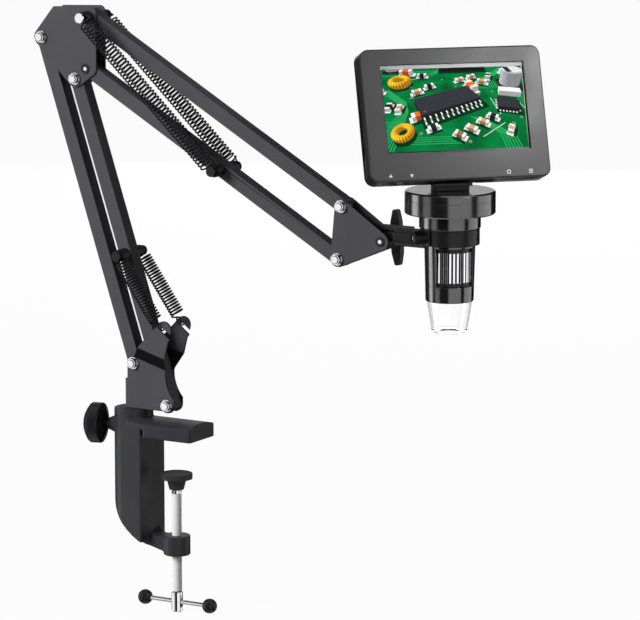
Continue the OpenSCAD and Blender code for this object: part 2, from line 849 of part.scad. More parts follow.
module focus_wheel() {
    h = window_h - 0.6;
    grooves = 36;
    color(steel) at_axis(window_z + 0.1) difference() {
        union() {
            cylinder(r = wheel_r - 0.5, h = h, $fn = 96);
            for (z = [0, h - 2.4]) translate([0, 0, z]) cylinder(r = wheel_r, h = 2.4, $fn = 96);
            for (i = [0:grooves - 1]) rotate([0, 0, 360 * i / grooves])
                translate([wheel_r - 1, -0.65, 1]) cube([0.9, 1.3, h - 2]);
        }
        translate([0, 0, -1]) cylinder(r = 9.5, h = h + 2);
    }
}

lens_z = window_z - 2.6;
lens_top = window_z + window_h + 2;

module lens_barrel() {
    color(dark) turned([
        [4.5, lens_z], [6.8, lens_z], [6.8, window_z + 4], [9.5 - fit, window_z + 4],
        [9.5 - fit, lens_top - 6], [6.8, lens_top - 6], [6.8, lens_top], [4.5, lens_top]
    ]);
}

module lens_glass() {
    color([0.7, 0.85, 0.95, 0.5]) {
        at_axis(lens_z + 2) cylinder(r = 4.5, h = 2.6);
        at_axis(lens_top - 5) cylinder(r = 4.5, h = 2.2);
    }
}

board_z = ring_top + 2;

module camera_board() {
    color([0.1, 0.35, 0.2]) {
        at_axis(board_z) cylinder(r = barrel_in - loose, h = 1.2);
        at_axis(board_z - 1.8) translate([-4, -4, 0]) cube([8, 8, 1.8]);
    }
}

head_split = 9.2;

module head_lower() {
    z1 = disk_z + head_split;
    color(dark) turned([
        [barrel_r + fit, ring_top + 0.2], [collar_r - 0.5, ring_top + 0.2], [collar_r, ring_top + 0.7],
        [collar_r, disk_z], [disk_r - 0.8, disk_z], [disk_r, disk_z + 0.8], [disk_r, z1],
        [disk_r - shell_t, z1], [disk_r - shell_t, disk_z + shell_t],
        [barrel_r + fit, disk_z + shell_t]
    ]);
}

module head_cover() {
    z1 = disk_z + head_split;
    color(dark) difference() {
        turned([
            [0, disk_top], [disk_r - 1, disk_top], [disk_r, disk_top - 1], [disk_r, z1],
            [disk_r - shell_t, z1], [disk_r - shell_t, disk_top - shell_t], [0, disk_top - shell_t]
        ]);
        at_axis(disk_top - 5) cylinder(r = 4, h = 10);
    }
}

// Frame of the neck: +X to the viewer's right, +Y away from the viewer
module at_neck() { at_axis(disk_top) rotate([0, 0, lcd_turn]) children(); }

module neck_block() {
    hinge = [-hinge_front, hinge_rise];
    color([0.25, 0.25, 0.26]) at_neck() difference() {
        union() {
            // recessed foot
            translate([-neck_w / 2 + 1.6, -neck_d / 2 + 1.6, 0])
                cube([neck_w - 3.2, neck_d - 3.2, neck_foot_h]);
            translate([neck_w / 2, 0, 0]) rotate([90, 0, -90]) linear_extrude(neck_w) {
                translate([-neck_d / 2, neck_foot_h]) square([neck_d, 8.6]);
                intersection() {
                    translate([-hinge_front - hinge_r, neck_foot_h]) square([40, 60]);
                    round_outline([
                        [-hinge[0] - 0.01, hinge[1], hinge_r], [-8, 10.8, 0.4], [8, 10.8, 0.4]
                    ]);
                }
            }
        }
        translate([-40, hinge[0], hinge[1]]) rotate([0, 90, 0]) cylinder(r = 2 + fit, h = 80);
        translate([0, 0, -1]) cylinder(r = 4, h = 9);
    }
}

// Frame of the display head, on the hinge axis
module at_display() {
    at_neck() translate([0, -hinge_front, hinge_rise]) rotate([-lcd_tilt, 0, 0]) children();
}

lug_w = 4;
lug_x = neck_w / 2 + 0.3;

module hinge_pin() {
    half = lug_x + lug_w - 0.6;
    color(steel) at_display() translate([-half, 0, 0]) rotate([0, 90, 0]) cylinder(r = 2, h = 2 * half);
}

// Outline of the housing in its own plane
module housing_outline(inset = 0) {
    r = lcd_corner - inset;
    w = lcd_w / 2 - lcd_corner;
    h = lcd_h / 2 - lcd_corner;
    round_outline([[-w, -h, r], [w, -h, r], [w, h, r], [-w, h, r]]);
}

// Extrudes a housing outline from y0 to y1 of the display frame
module slab(y0, y1) {
    translate([lcd_x, y1, lcd_mid]) rotate([90, 0, 0]) linear_extrude(y1 - y0) children();
}

module key_cuts() {
    for (x = key_x) {
        translate([screen_x + x - key_w / 2 - 0.3, front_y + 4.7, lcd_low - 1])
            cube([key_w + 0.6, key_d + 0.6, 1 + shell_t + 1]);
    }
}

front_t = 2;
lip = 1.6;

module front_frame() {
    color(dark) at_display() difference() {
        union() {
            slab(front_y + 0.8, front_y + frame_depth) housing_outline();
            slab(front_y, front_y + 0.81) housing_outline(0.8);
        }
        difference() {
            slab(front_y + front_t, front_y + frame_depth + 1) housing_outline(shell_t);
            for (p = screw_place) y_rod(p, 2.4, front_y, 0);
        }
        for (p = screw_place) y_rod(p, 1.2, front_y + 4, 0);
        // stepped screen opening
        translate([screen_x - screen_w / 2, front_y - 1, screen_mid - screen_h / 2])
            cube([screen_w, 10, screen_h]);
        key_cuts();
    }
}

module rear_cover() {
    back = -hinge_behind;
    color(dark) at_display() difference() {
        union() {
            slab(front_y + frame_depth, back - 1.2) housing_outline();
            slab(back - 1.21, back) housing_outline(1.2);
            // hinge lugs
            for (s = [-1, 1]) translate([s * (lug_x + lug_w / 2) + lug_w / 2, 0, 0])
                rotate([90, 0, -90]) linear_extrude(lug_w) union() {
                    circle(5.4);
                    translate([0, -5.4]) square([-back + 1, 10.8]);
                }
        }
        difference() {
            slab(front_y + frame_depth - 1, back - shell_t) housing_outline(shell_t);
            translate([-neck_w / 2 - 2.5, back - 5, lcd_low]) cube([neck_w + 5, 6, 27]);
        }
        // pocket for the neck
        translate([-neck_w / 2 - 0.3, back - 2.4, lcd_low - 1]) cube([neck_w + 0.6, 10, 25]);
        translate([-40, 0, 0]) rotate([0, 90, 0]) cylinder(r = 2, h = 80);
        // mouths of the charging and card sockets
        translate([lcd_x - lcd_w / 2 - 1, socket_y - 0.1, usb_at - 0.1])
            cube([shell_t + 2, usb[2] + 0.2, usb[1] + 0.2]);
        translate([lcd_x - lcd_w / 2 - 1, socket_y - 0.1, card_at - 0.1])
            cube([shell_t + 2, card[2] + 0.2, card[1] + 0.2]);
        for (p = screw_place) translate([p[0], back + 1, p[1]]) rotate([90, 0, 0]) {
            cylinder(r = 2.1, h = 2.2);
            cylinder(r = 1.3, h = 4);
        }
    }
}

module display_panel() {
    y0 = front_y + front_t;
    color([0.15, 0.5, 0.3]) at_display() {
        translate([screen_x - panel_w / 2, y0, screen_mid - panel_h / 2 - 2.5])
            cube([panel_w, panel_t, panel_h]);
    }
}

board_t = 1.4;
board_y = -hinge_behind - 8;
socket_y = board_y + board_t;
usb = [7, 7.6, 2.7];        // depth into the housing, length up the edge, thickness
card = [12, 11.4, 1.6];
usb_at = 5.6;               // lower end of each socket, up the screen
card_at = 19.5;

module main_board() {
    color([0.1, 0.4, 0.2]) at_display()
        translate([lcd_x - 48, board_y, lcd_low + 3.2]) cube([96, board_t, 58]);
}

module battery() {
    color([0.6, 0.62, 0.66]) at_display()
        translate([lcd_x - 22, socket_y, lcd_low + 34]) cube([44, 4.2, 40]);
}

// Socket on the board, its mouth at the left edge of the housing
module edge_socket(size, at) {
    translate([lcd_x - lcd_w / 2 + 0.6, socket_y, at]) difference() {
        cube([size[0], size[2], size[1]]);
        translate([-1, 0.4, 0.4]) cube([size[0] - 1, size[2] - 0.8, size[1] - 0.8]);
    }
}

module side_sockets() {
    color(steel) at_display() {
        edge_socket([usb[0] + 5, usb[1], usb[2]], usb_at);
        edge_socket(card, card_at);
    }
}

screw_place = [for (x = [-52, 52], z = [lcd_low + 6.5, lcd_low + lcd_h - 5]) [lcd_x + x, z]];

module cover_screws() {
    color(steel) at_display() for (p = screw_place)
        translate([p[0], -hinge_behind, p[1]]) rotate([90, 0, 0]) {
            translate([0, 0, 0.2]) cylinder(r = 2, h = 1);
            translate([0, 0, 1]) cylinder(r = 1.2, h = 7);
        }
}

// Key on the lower edge, sprung towards the outside
module key(x) {
    color([0.2, 0.2, 0.21]) at_display()
        translate([screen_x + x - key_w / 2, front_y + 5, lcd_low - 0.2])
            cube([key_w, key_d, shell_t + 0.6]);
}

module button_up() { key(key_x[0]); }
module button_down() { key(key_x[1]); }
module button_ok() { key(key_x[2]); }
module button_menu() { key(key_x[3]); }

clamp_frame();
clamp_pad();
clamp_screw();
tommy_bar();
lock_knob();
lock_stud();
base_bracket();
base_post();
base_washer();
base_bolts();
lower_rear_bar();
lower_rear_bushes();
lower_front_bar();
lower_front_bushes();
lower_spring_pin();
lower_pin_sleeves();
lower_springs();
elbow_plates();
elbow_bolts();
elbow_rivet();
elbow_spring_pin();
elbow_pin_sleeves();
upper_top_bar();
upper_top_bushes();
upper_bottom_bar();
upper_bottom_bushes();
upper_spring_pin();
upper_pin_sleeves();
upper_springs();
end_plates();
end_bolts();
tilt_bolt();
wing_knob();
ring_yoke();
holder_ring();
ring_screw();
barrel();
nose_ring();
clear_cap();
led_board();
leds();
head_lower();
head_cover();
camera_board();
neck_block();
hinge_pin();
focus_wheel();
lens_barrel();
lens_glass();
front_frame();
rear_cover();
display_panel();
main_board();
battery();
side_sockets();
cover_screws();
button_up();
button_down();
button_ok();
button_menu();
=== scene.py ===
# Looks of the boom-arm digital microscope: finishes for the CAD pieces, the pieces whose
# form needs more than the CAD gives, and the stage. Blender works in metres in the CAD
# frame. Lengths here are in millimetres and become metres by MM, except on the stage.
# The arm lies in the plane y = 0, and its places are (x, z).
import json
import math

import bpy
from mathutils import Matrix, Vector, noise


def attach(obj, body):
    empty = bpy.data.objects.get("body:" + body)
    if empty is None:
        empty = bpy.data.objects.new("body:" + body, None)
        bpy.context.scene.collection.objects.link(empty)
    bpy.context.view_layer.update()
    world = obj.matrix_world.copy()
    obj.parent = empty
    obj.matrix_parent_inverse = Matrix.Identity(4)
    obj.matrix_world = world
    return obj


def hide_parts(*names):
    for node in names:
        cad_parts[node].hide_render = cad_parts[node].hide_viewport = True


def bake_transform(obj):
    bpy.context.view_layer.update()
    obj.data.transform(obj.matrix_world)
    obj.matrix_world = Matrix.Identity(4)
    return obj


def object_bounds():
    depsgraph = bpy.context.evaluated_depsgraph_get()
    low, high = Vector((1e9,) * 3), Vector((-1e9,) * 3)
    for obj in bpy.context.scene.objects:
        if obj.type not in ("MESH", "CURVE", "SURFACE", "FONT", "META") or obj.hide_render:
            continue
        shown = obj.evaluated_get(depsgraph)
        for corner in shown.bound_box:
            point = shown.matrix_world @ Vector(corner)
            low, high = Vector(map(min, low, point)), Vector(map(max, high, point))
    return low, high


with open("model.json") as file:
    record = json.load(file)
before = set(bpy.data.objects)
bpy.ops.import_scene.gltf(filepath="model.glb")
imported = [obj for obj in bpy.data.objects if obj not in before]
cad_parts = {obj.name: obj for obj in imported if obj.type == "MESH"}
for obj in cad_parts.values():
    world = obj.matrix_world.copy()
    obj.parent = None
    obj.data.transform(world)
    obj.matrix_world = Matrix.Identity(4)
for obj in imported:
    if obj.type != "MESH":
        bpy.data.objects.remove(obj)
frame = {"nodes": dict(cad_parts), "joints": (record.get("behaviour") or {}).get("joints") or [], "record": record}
cad_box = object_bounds()
nodes = frame["nodes"]

MM = 0.001


# ---------- shader groups ----------

def new_group(name, inputs, outputs):
    """A shader node group; inputs give each number's default, outputs each socket's type."""
    group = bpy.data.node_groups.new(name, "ShaderNodeTree")
    for title, value in inputs.items():
        socket = group.interface.new_socket(title, in_out="INPUT", socket_type="NodeSocketFloat")
        socket.default_value = value
    for title, kind in outputs.items():
        group.interface.new_socket(title, in_out="OUTPUT", socket_type=kind)
    return group, group.nodes.new("NodeGroupInput"), group.nodes.new("NodeGroupOutput")


def add_node(tree, kind, **values):
    """A node with its values set: an input socket, by its name in small letters, or a property."""
    node = tree.nodes.new(kind)
    for key, value in values.items():
        socket = key.replace("_", " ").title()
        if socket in node.inputs:
            node.inputs[socket].default_value = value
        else:
            setattr(node, key, value)
    return node


def set_inputs(node, values):
    for socket, value in values.items():
        node.inputs[socket].default_value = value


def object_noise(tree, **values):
    """Noise that stays in place on the object."""
    where = tree.nodes.new("ShaderNodeTexCoord")
    texture = add_node(tree, "ShaderNodeTexNoise", **values)
    tree.links.new(where.outputs["Object"], texture.inputs["Vector"])
    return texture


def remap(tree, value, from_min, from_max, to_min=0.0, to_max=1.0):
    """A value moved from one span to another and kept inside it."""
    node = add_node(tree, "ShaderNodeMapRange", from_min=from_min, from_max=from_max,
                    to_min=to_min, to_max=to_max)
    tree.links.new(value, node.inputs["Value"])
    return node


def combined(tree, kind, operation, first, second, **values):
    """A maths node of two linked inputs."""
    node = add_node(tree, kind, operation=operation, **values)
    tree.links.new(first, node.inputs[0])
    tree.links.new(second, node.inputs[1])
    return node.outputs["Value"]


def grain_group():
    """Fine bump and a roughness that drifts, as on paint, moulded plastic or rubber."""
    group, given, out = new_group(
        "fine grain",
        {"Scale": 2500.0, "Height": 0.3, "Low": 0.4, "High": 0.5},
        {"Roughness": "NodeSocketFloat", "Normal": "NodeSocketVector"})
    link = group.links.new
    fine = object_noise(group, detail=2.0, roughness=0.6)
    link(given.outputs["Scale"], fine.inputs["Scale"])
    bump = add_node(group, "ShaderNodeBump", distance=0.05 * MM)
    link(fine.outputs["Fac"], bump.inputs["Height"])
    link(given.outputs["Height"], bump.inputs["Strength"])
    drift = object_noise(group, scale=55.0, detail=3.0)
    spread = remap(group, drift.outputs["Fac"], 0.35, 0.65)
    link(given.outputs["Low"], spread.inputs["To Min"])
    link(given.outputs["High"], spread.inputs["To Max"])
    link(spread.outputs["Result"], out.inputs["Roughness"])
    link(bump.outputs["Normal"], out.inputs["Normal"])
    return group


def edge_group():
    """A mask that is 1 along rubbed edges and 0 elsewhere."""
    group, given, out = new_group(
        "edge wear", {"Amount": 0.5, "Breakup": 300.0}, {"Mask": "NodeSocketFloat"})
    shape = group.nodes.new("ShaderNodeNewGeometry")
    bevel = add_node(group, "ShaderNodeBevel", samples=6, radius=0.5 * MM)
    turn = combined(group, "ShaderNodeVectorMath", "DOT_PRODUCT",
                    bevel.outputs["Normal"], shape.outputs["Normal"])
    edge = remap(group, turn, 0.985, 0.85)
    patches = object_noise(group, detail=3.0)
    group.links.new(given.outputs["Breakup"], patches.inputs["Scale"])
    some = remap(group, patches.outputs["Fac"], 0.4, 0.62)
    broken = combined(group, "ShaderNodeMath", "MULTIPLY",
                      edge.outputs["Result"], some.outputs["Result"])
    mask = combined(group, "ShaderNodeMath", "MULTIPLY",
                    broken, given.outputs["Amount"], use_clamp=True)
    group.links.new(mask, out.inputs["Mask"])
    return group


GRAIN = grain_group()
EDGES = edge_group()


# ---------- finishes ----------

MOTTLED, RUBBED = 0.82, 2.2     # how dark the mottling and how light a rubbed edge is


def new_material(name):
    material = bpy.data.materials.new(name)
    material.use_nodes = True
    tree = material.node_tree
    return material, tree, tree.nodes["Principled BSDF"]


def tone_mix(tree, mask, first, second):
    """Goes from first to second by the mask; each is a colour or an output socket."""
    mix = add_node(tree, "ShaderNodeMix", data_type="RGBA")
    for title, tone in (("A", first), ("B", second)):
        if isinstance(tone, tuple):
            mix.inputs[title].default_value = (*tone, 1)
        else:
            tree.links.new(tone, mix.inputs[title])
    tree.links.new(mask, mix.inputs["Factor"])
    return mix.outputs["Result"]


def add_grain(tree, shader, scale, height, low, high):
    """Gives a shader its bump and its drifting roughness."""
    fine = add_node(tree, "ShaderNodeGroup", node_tree=GRAIN, scale=scale, height=height,
                    low=low, high=high)
    for title in ("Roughness", "Normal"):
        tree.links.new(fine.outputs[title], shader.inputs[title])


def solid_finish(name, colour, rough, metallic=0.0, grain=2500.0, height=0.3, wear=0.5,
                 tint=None, coat=0.0, specular=0.5):
    """Mottled base colour, fine grain and rubbed edges; rough is (lowest, highest)."""
    material, tree, shader = new_material(name)
    set_inputs(shader, {"Metallic": metallic, "Specular IOR Level": specular,
                        "Coat Weight": coat, "Coat Roughness": 0.12})
    mottle = object_noise(tree, scale=38.0, detail=4.0)
    spread = remap(tree, mottle.outputs["Fac"], 0.3, 0.7)
    base = tone_mix(tree, spread.outputs["Result"], colour,
                    tint or tuple(c * MOTTLED for c in colour))
    if wear:
        edges = add_node(tree, "ShaderNodeGroup", node_tree=EDGES, amount=wear)
        base = tone_mix(tree, edges.outputs["Mask"], base,
                        tuple(min(1, c * RUBBED) for c in colour))
    tree.links.new(base, shader.inputs["Base Color"])
    add_grain(tree, shader, grain, height, *rough)
    return material


def metal_finish(name, colour, rough, **values):
    return solid_finish(name, colour, rough, metallic=1.0, wear=0.0, **values)


def clear_finish(name, colour, roughness, ior, edge=None):
    """Clear plastic or glass; given an edge colour, its tint gets painted shade where it is seen edge on."""
    material, tree, shader = new_material(name)
    set_inputs(shader, {"Base Color": (*colour, 1), "Transmission Weight": 1.0, "IOR": ior})
    if edge:
        # painted shade: the tint goes to the edge colour where the surface is seen edge on
        facing = add_node(tree, "ShaderNodeLayerWeight", blend=0.35)
        steep = remap(tree, facing.outputs["Facing"], 0.30, 0.75)
        tree.links.new(tone_mix(tree, steep.outputs["Result"], colour, edge),
                       shader.inputs["Base Color"])
    add_grain(tree, shader, 400.0, 0.0, roughness, roughness + 0.03)
    return material


FINISHES = {
    # clamp and arm
    "cast": solid_finish(
        "satin paint on cast iron", (0.038, 0.038, 0.042), (0.36, 0.46),
        grain=900, height=0.25, wear=0.1, specular=0.15),
    "sheet": solid_finish(
        "satin paint on sheet steel", (0.076, 0.075, 0.081), (0.5, 0.6),
        tint=(0.070, 0.069, 0.075), grain=1600, height=0.15, wear=0.04, specular=0.1),
    # painted shade: a darker copy of the sheet paint for the ears' joggles and the far ear's inner side
    "sheet_shade": solid_finish(
        "painted shade on the sheet paint", (0.005, 0.005, 0.006), (0.5, 0.6),
        grain=1600, height=0.15, wear=0.0, specular=0.1),
    "pad_rubber": solid_finish(
        "pad rubber", (0.03, 0.03, 0.032), (0.6, 0.75), height=0.4, wear=0.2, specular=0.3),
    "screw_steel": metal_finish(
        "zinc plated steel", (0.78, 0.78, 0.79), (0.10, 0.16), grain=900, height=0.02),
    "knob_plastic": solid_finish(
        "knob plastic", (0.014, 0.014, 0.016), (0.3, 0.4),
        grain=1800, height=0.15, wear=0.1, specular=0.2),
    "washer_nylon": solid_finish(
        "black nylon", (0.03, 0.03, 0.032), (0.45, 0.6), wear=0.1, specular=0.3),
    "bright": metal_finish(
        "bright nickel", (0.90, 0.90, 0.91), (0.10, 0.13),
        tint=(0.87, 0.87, 0.88), grain=700, height=0.03),
    # painted shade: a darker copy of the bright nickel for the bolts' sides
    "bright_dark": metal_finish(
        "nickel in painted shade", (0.16, 0.16, 0.17), (0.25, 0.35), grain=700, height=0.03),
    "bush_nylon": solid_finish("natural nylon", (0.72, 0.70, 0.64), (0.4, 0.5), wear=0.0),
    # blackened pin steel; on the focus wheel it is painted shade between the ribs
    "pin_steel": solid_finish(
        "blackened pin steel and painted groove shade", (0.012, 0.012, 0.013), (0.3, 0.42), wear=0.1, specular=0.3),
    "sleeve_rubber": solid_finish(
        "sleeve rubber", (0.010, 0.010, 0.011), (0.45, 0.6), wear=0.1, specular=0.25),
    "spring_steel": solid_finish(
        "blackened spring wire", (0.012, 0.012, 0.014), (0.3, 0.42), wear=0.0, specular=0.2),
    "rivet_black": solid_finish(
        "black rivet", (0.018, 0.018, 0.02), (0.3, 0.4), wear=0.2, specular=0.4),
    # ring holder and microscope
    "yoke_metal": solid_finish(
        "grey painted strap", (0.036, 0.035, 0.035), (0.38, 0.5),
        grain=700, height=0.15, wear=0.1, specular=0.15),
    "ring_black": solid_finish(
        "ring paint", (0.012, 0.012, 0.013), (0.25, 0.35), wear=0.1, specular=0.2),
    "body_black": solid_finish(
        "body plastic", (0.012, 0.012, 0.013), (0.16, 0.21),
        grain=1500, height=0.04, wear=0.1, coat=0.5, specular=1.0),
    "wheel_chrome": metal_finish(
        "chromed wheel", (0.92, 0.92, 0.94), (0.05, 0.10), grain=700, height=0.02),
    # its grey edge colour is painted shade
    "cap_clear": clear_finish(
        "clear cap plastic", (0.985, 0.985, 0.985), 0.02, 1.49, edge=(0.42, 0.42, 0.42)),
    "glass_clear": clear_finish("coated lens glass", (0.9, 0.95, 1.0), 0.02, 1.52),
    "led_board_white": solid_finish(
        "white solder resist", (0.8, 0.8, 0.77), (0.3, 0.4), wear=0.0),
    "led_lens": solid_finish("light resin", (0.95, 0.88, 0.55), (0.2, 0.3), wear=0.0),
    "board_green": solid_finish("green solder resist", (0.03, 0.2, 0.08), (0.3, 0.4), wear=0.0),
    "neck_grey": solid_finish(
        "neck plastic", (0.030, 0.030, 0.031), (0.3, 0.4), wear=0.15, specular=0.35),
    # display
    "frame_black": solid_finish(
        "display shell plastic", (0.062, 0.062, 0.063), (0.30, 0.36),
        tint=(0.056, 0.056, 0.057), grain=1800, height=0.15, wear=0.08, specular=0.22),
    # painted shade: a darker copy of the shell plastic for the display's sides and back
    "shell_side": solid_finish(
        "display shell in painted shade", (0.016, 0.016, 0.017), (0.25, 0.34),
        grain=1800, height=0.12, wear=0.12, specular=0.4),
    "screen": solid_finish(
        "display surface", (0.006, 0.007, 0.008), (0.12, 0.16), wear=0.0, specular=0.3),
    # pale strip: painted highlight for the lit top wall of the display's window
    "strip": solid_finish(
        "painted highlight of the window ledge", (0.62, 0.63, 0.64), (0.4, 0.5), grain=900, height=0.04, wear=0.0),
    "print_white": solid_finish(
        "white print", (0.95, 0.95, 0.95), (0.5, 0.6),
        tint=(0.90, 0.90, 0.90), wear=0.0, specular=0.2),
    "button_grey": solid_finish(
        "button plastic", (0.022, 0.022, 0.024), (0.35, 0.45), wear=0.15, specular=0.3),
    "socket_steel": metal_finish("plated socket shell", (0.75, 0.75, 0.77), (0.2, 0.3)),
    "cell": solid_finish("cell pouch", (0.6, 0.62, 0.65), (0.3, 0.4), metallic=0.8, wear=0.0),
}

slot_of = {part["node"]: part["material_slot"] for part in frame["record"]["subparts"]}
body_of = {node: body for body, members in frame["record"]["behaviour"]["bodies"].items()
           for node in members}
for name, piece in nodes.items():
    piece.data.materials.clear()
    piece.data.materials.append(FINISHES[slot_of[name]])


# ---------- tools for new pieces ----------

def deselect():
    bpy.ops.object.select_all(action="DESELECT")


def select_only(piece):
    deselect()
    piece.select_set(True)
    bpy.context.view_layer.objects.active = piece


def put_at_origin(piece):
    """Moves the piece's place and turn into its mesh."""
    select_only(piece)
    bpy.ops.object.transform_apply(location=True, rotation=True, scale=True)


def use_modifier(piece, kind, **values):
    select_only(piece)
    modifier = piece.modifiers.new(kind.lower(), kind)
    for key, value in values.items():
        setattr(modifier, key, value)
    bpy.ops.object.modifier_apply(modifier=modifier.name)


def round_edges(piece, width, segments=2, angle=40, clamp=True):
    """Rounds the edges that turn by more than the angle."""
    use_modifier(piece, "BEVEL", width=width * MM, segments=segments, limit_method="ANGLE",
                 angle_limit=math.radians(angle), use_clamp_overlap=clamp)


def joined(pieces):
    deselect()
    for piece in pieces:
        piece.select_set(True)
    bpy.context.view_layer.objects.active = pieces[0]
    bpy.ops.object.join()
    return bpy.context.object


def keep(piece, name, body, slot, *stands_for, finish=None, smooth=40):
    """Names, finishes and seats a piece, and hides the CAD nodes it stands for."""
    piece.name = name
    if smooth:
        select_only(piece)
        bpy.ops.object.shade_smooth_by_angle(angle=math.radians(smooth))
        use_modifier(piece, "WEIGHTED_NORMAL", weight=50, keep_sharp=True)
    if not piece.data.materials:
        piece.data.materials.append(finish or FINISHES[slot])
    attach(piece, body)
    if stands_for:
        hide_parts(*stands_for)
    return piece


def copy_of(node):
    """A copy of a CAD piece's mesh with its loose triangles merged."""
    piece = bpy.data.objects.new(node + "_copy", nodes[node].data.copy())
    bpy.context.collection.objects.link(piece)
    select_only(piece)
    bpy.ops.object.mode_set(mode="EDIT")
    bpy.ops.mesh.select_all(action="SELECT")
    bpy.ops.mesh.remove_doubles(threshold=0.002 * MM)
    bpy.ops.mesh.dissolve_limited(angle_limit=math.radians(0.5))
    bpy.ops.object.mode_set(mode="OBJECT")
    return piece


def broken_edges(node, width):
    """A copy of a CAD piece with its sharp edges rounded, as paint and moulding leave them."""
    piece = copy_of(node)
    round_edges(piece, width, angle=30, clamp=False)
    return keep(piece, node + "_finished", body_of[node], slot_of[node], node)


def cast_surface(node, cell, rounds):
    """A copy of a CAD piece with all its edges run together, as on a casting."""
    piece = copy_of(node)
    use_modifier(piece, "REMESH", mode="VOXEL", voxel_size=cell * MM)
    use_modifier(piece, "SMOOTH", factor=0.5, iterations=rounds)
    select_only(piece)
    bpy.ops.object.shade_smooth()
    return keep(piece, node + "_cast", body_of[node], slot_of[node], node, smooth=0)


def second_finish(piece, slot, chosen):
    """Gives the faces that a test picks, by their middle in mm and direction, another finish."""
    piece.data.materials.append(FINISHES[slot])
    last = len(piece.data.materials) - 1
    for face in piece.data.polygons:
        if chosen(face.center / MM, face.normal):
            face.material_index = last


def add_rod(radius, length, place, turn, sides=32):
    """A rod round a place; its length runs up before the turn, given in radians."""
    deselect()
    bpy.ops.mesh.primitive_cylinder_add(vertices=sides, radius=radius * MM, depth=length * MM,
                                        location=Vector(place) * MM, rotation=turn)
    rod = bpy.context.object
    put_at_origin(rod)
    return rod


def mesh_line(name, points, radius=0.0):
    """A line through points in metres as a mesh, or a round wire along it."""
    curve = bpy.data.curves.new(name, "CURVE")
    curve.dimensions = "3D"
    curve.bevel_depth = radius
    curve.bevel_resolution = 2
    curve.use_fill_caps = True
    line = curve.splines.new("POLY")
    line.points.add(len(points) - 1)
    for spot, point in zip(line.points, points):
        spot.co = (*point, 1)
    piece = bpy.data.objects.new(name, curve)
    bpy.context.collection.objects.link(piece)
    select_only(piece)
    bpy.ops.object.convert(target="MESH")
    return bpy.context.object


# ---------- places on the object ----------

joint_place = {joint["name"]: joint["pos_m"] for joint in frame["joints"] if "pos_m" in joint}


def pivot(joint):
    """Where a joint's axis crosses the arm plane."""
    return (joint_place[joint][0] / MM, joint_place[joint][2] / MM)


def ahead(start, length, first, second):
    """The place that lies that far from start, the way that second lies from first."""
    reach = length / math.dist(first, second)
    return tuple(s + reach * (b - a) for s, a, b in zip(start, first, second))


ELBOW_TOP, ELBOW_LOW = pivot("upper_arm"), pivot("upper_arm_bottom")
LOWER_PIN = ahead(pivot("lower_arm_front"), 107.5, pivot("lower_arm"), pivot("elbow_level"))
UPPER_PIN = ahead(ELBOW_LOW, 124, ELBOW_TOP, pivot("end_level"))
HOOK_SLOT = (-2.3, 75.8)              # in the bracket's ears
TILT_BOLT = pivot("holder_tilt")
SCOPE_X = pivot("scope_turn")[0]      # the microscope's axis

# The display's own frame: X along its width, Y into it, Z up, with the hinge at its origin
DISPLAY_TURN, DISPLAY_TILT = 46.3, -18.8
DISPLAY = (Matrix.Translation(joint_place["display_tilt"])
           @ Matrix.Rotation(math.radians(DISPLAY_TURN), 4, "Z")
           @ Matrix.Rotation(math.radians(DISPLAY_TILT), 4, "X"))
TO_DISPLAY = DISPLAY.inverted()


# ---------- springs ----------

WIRE, LOOP, EAR = 0.6, 3.3, 3.2       # radii of the wire, a pin loop and an ear hook
SPRING_Y = 14                         # from the arm plane to each spring
TURN_STEPS = 20


def angles(first, last, steps):
    """Evenly spaced angles between two, given in degrees."""
    return [math.radians(first + (last - first) * i / steps) for i in range(steps + 1)]


def spring_line(length, turns, coil, ear):
    """Wire centre line along X: pin loop, coils, then a pin loop or a hook through an ear."""
    start = LOOP + 1.6
    stop = length - (2 * EAR + 2.1 if ear else start)
    line = [(LOOP * math.cos(t), 0, LOOP * math.sin(t)) for t in angles(40, 270, 24)]
    steps = turns * TURN_STEPS
    for i, t in enumerate(angles(-90, 360 * turns - 90, steps)):
        line.append((start + (stop - start) * i / steps, coil * math.cos(t), coil * math.sin(t)))
    if ear:
        line += [(length - EAR * (1 - math.cos(t)), ear * (-1.6 + EAR * math.sin(t)), 0)
                 for t in angles(150, -150, 25)]
    else:
        line += [(length + LOOP * math.cos(t), 0, LOOP * math.sin(t)) for t in angles(-90, 140, 24)]
    return line


def arm_spring(name, first, second, side, turns, coil, hooked):
    """A spring between two places."""
    lean = math.atan2(second[1] - first[1], second[0] - first[0])
    seat = (Matrix.Translation(Vector((first[0], side * SPRING_Y, first[1])))
            @ Matrix.Rotation(-lean, 4, "Y"))
    line = spring_line(math.dist(first, second), turns, coil, side if hooked else 0)
    piece = mesh_line(name, [seat @ Vector(point) * MM for point in line], WIRE * MM)
    piece.name = name
    bpy.ops.object.shade_smooth()
    piece.data.materials.append(FINISHES["spring_steel"])
    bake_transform(piece)
    return piece


for side, word in ((-1, "near"), (1, "far")):
    lower = arm_spring(f"lower_spring_{word}", LOWER_PIN, HOOK_SLOT, side, 22, 4.5, True)
    upper = arm_spring(f"upper_spring_{word}", UPPER_PIN, ELBOW_TOP, side, 49, 5.0, False)
    if word == "near":
        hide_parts("lower_springs")
        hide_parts("upper_springs")


# ---------- edges and second finishes of the CAD pieces ----------

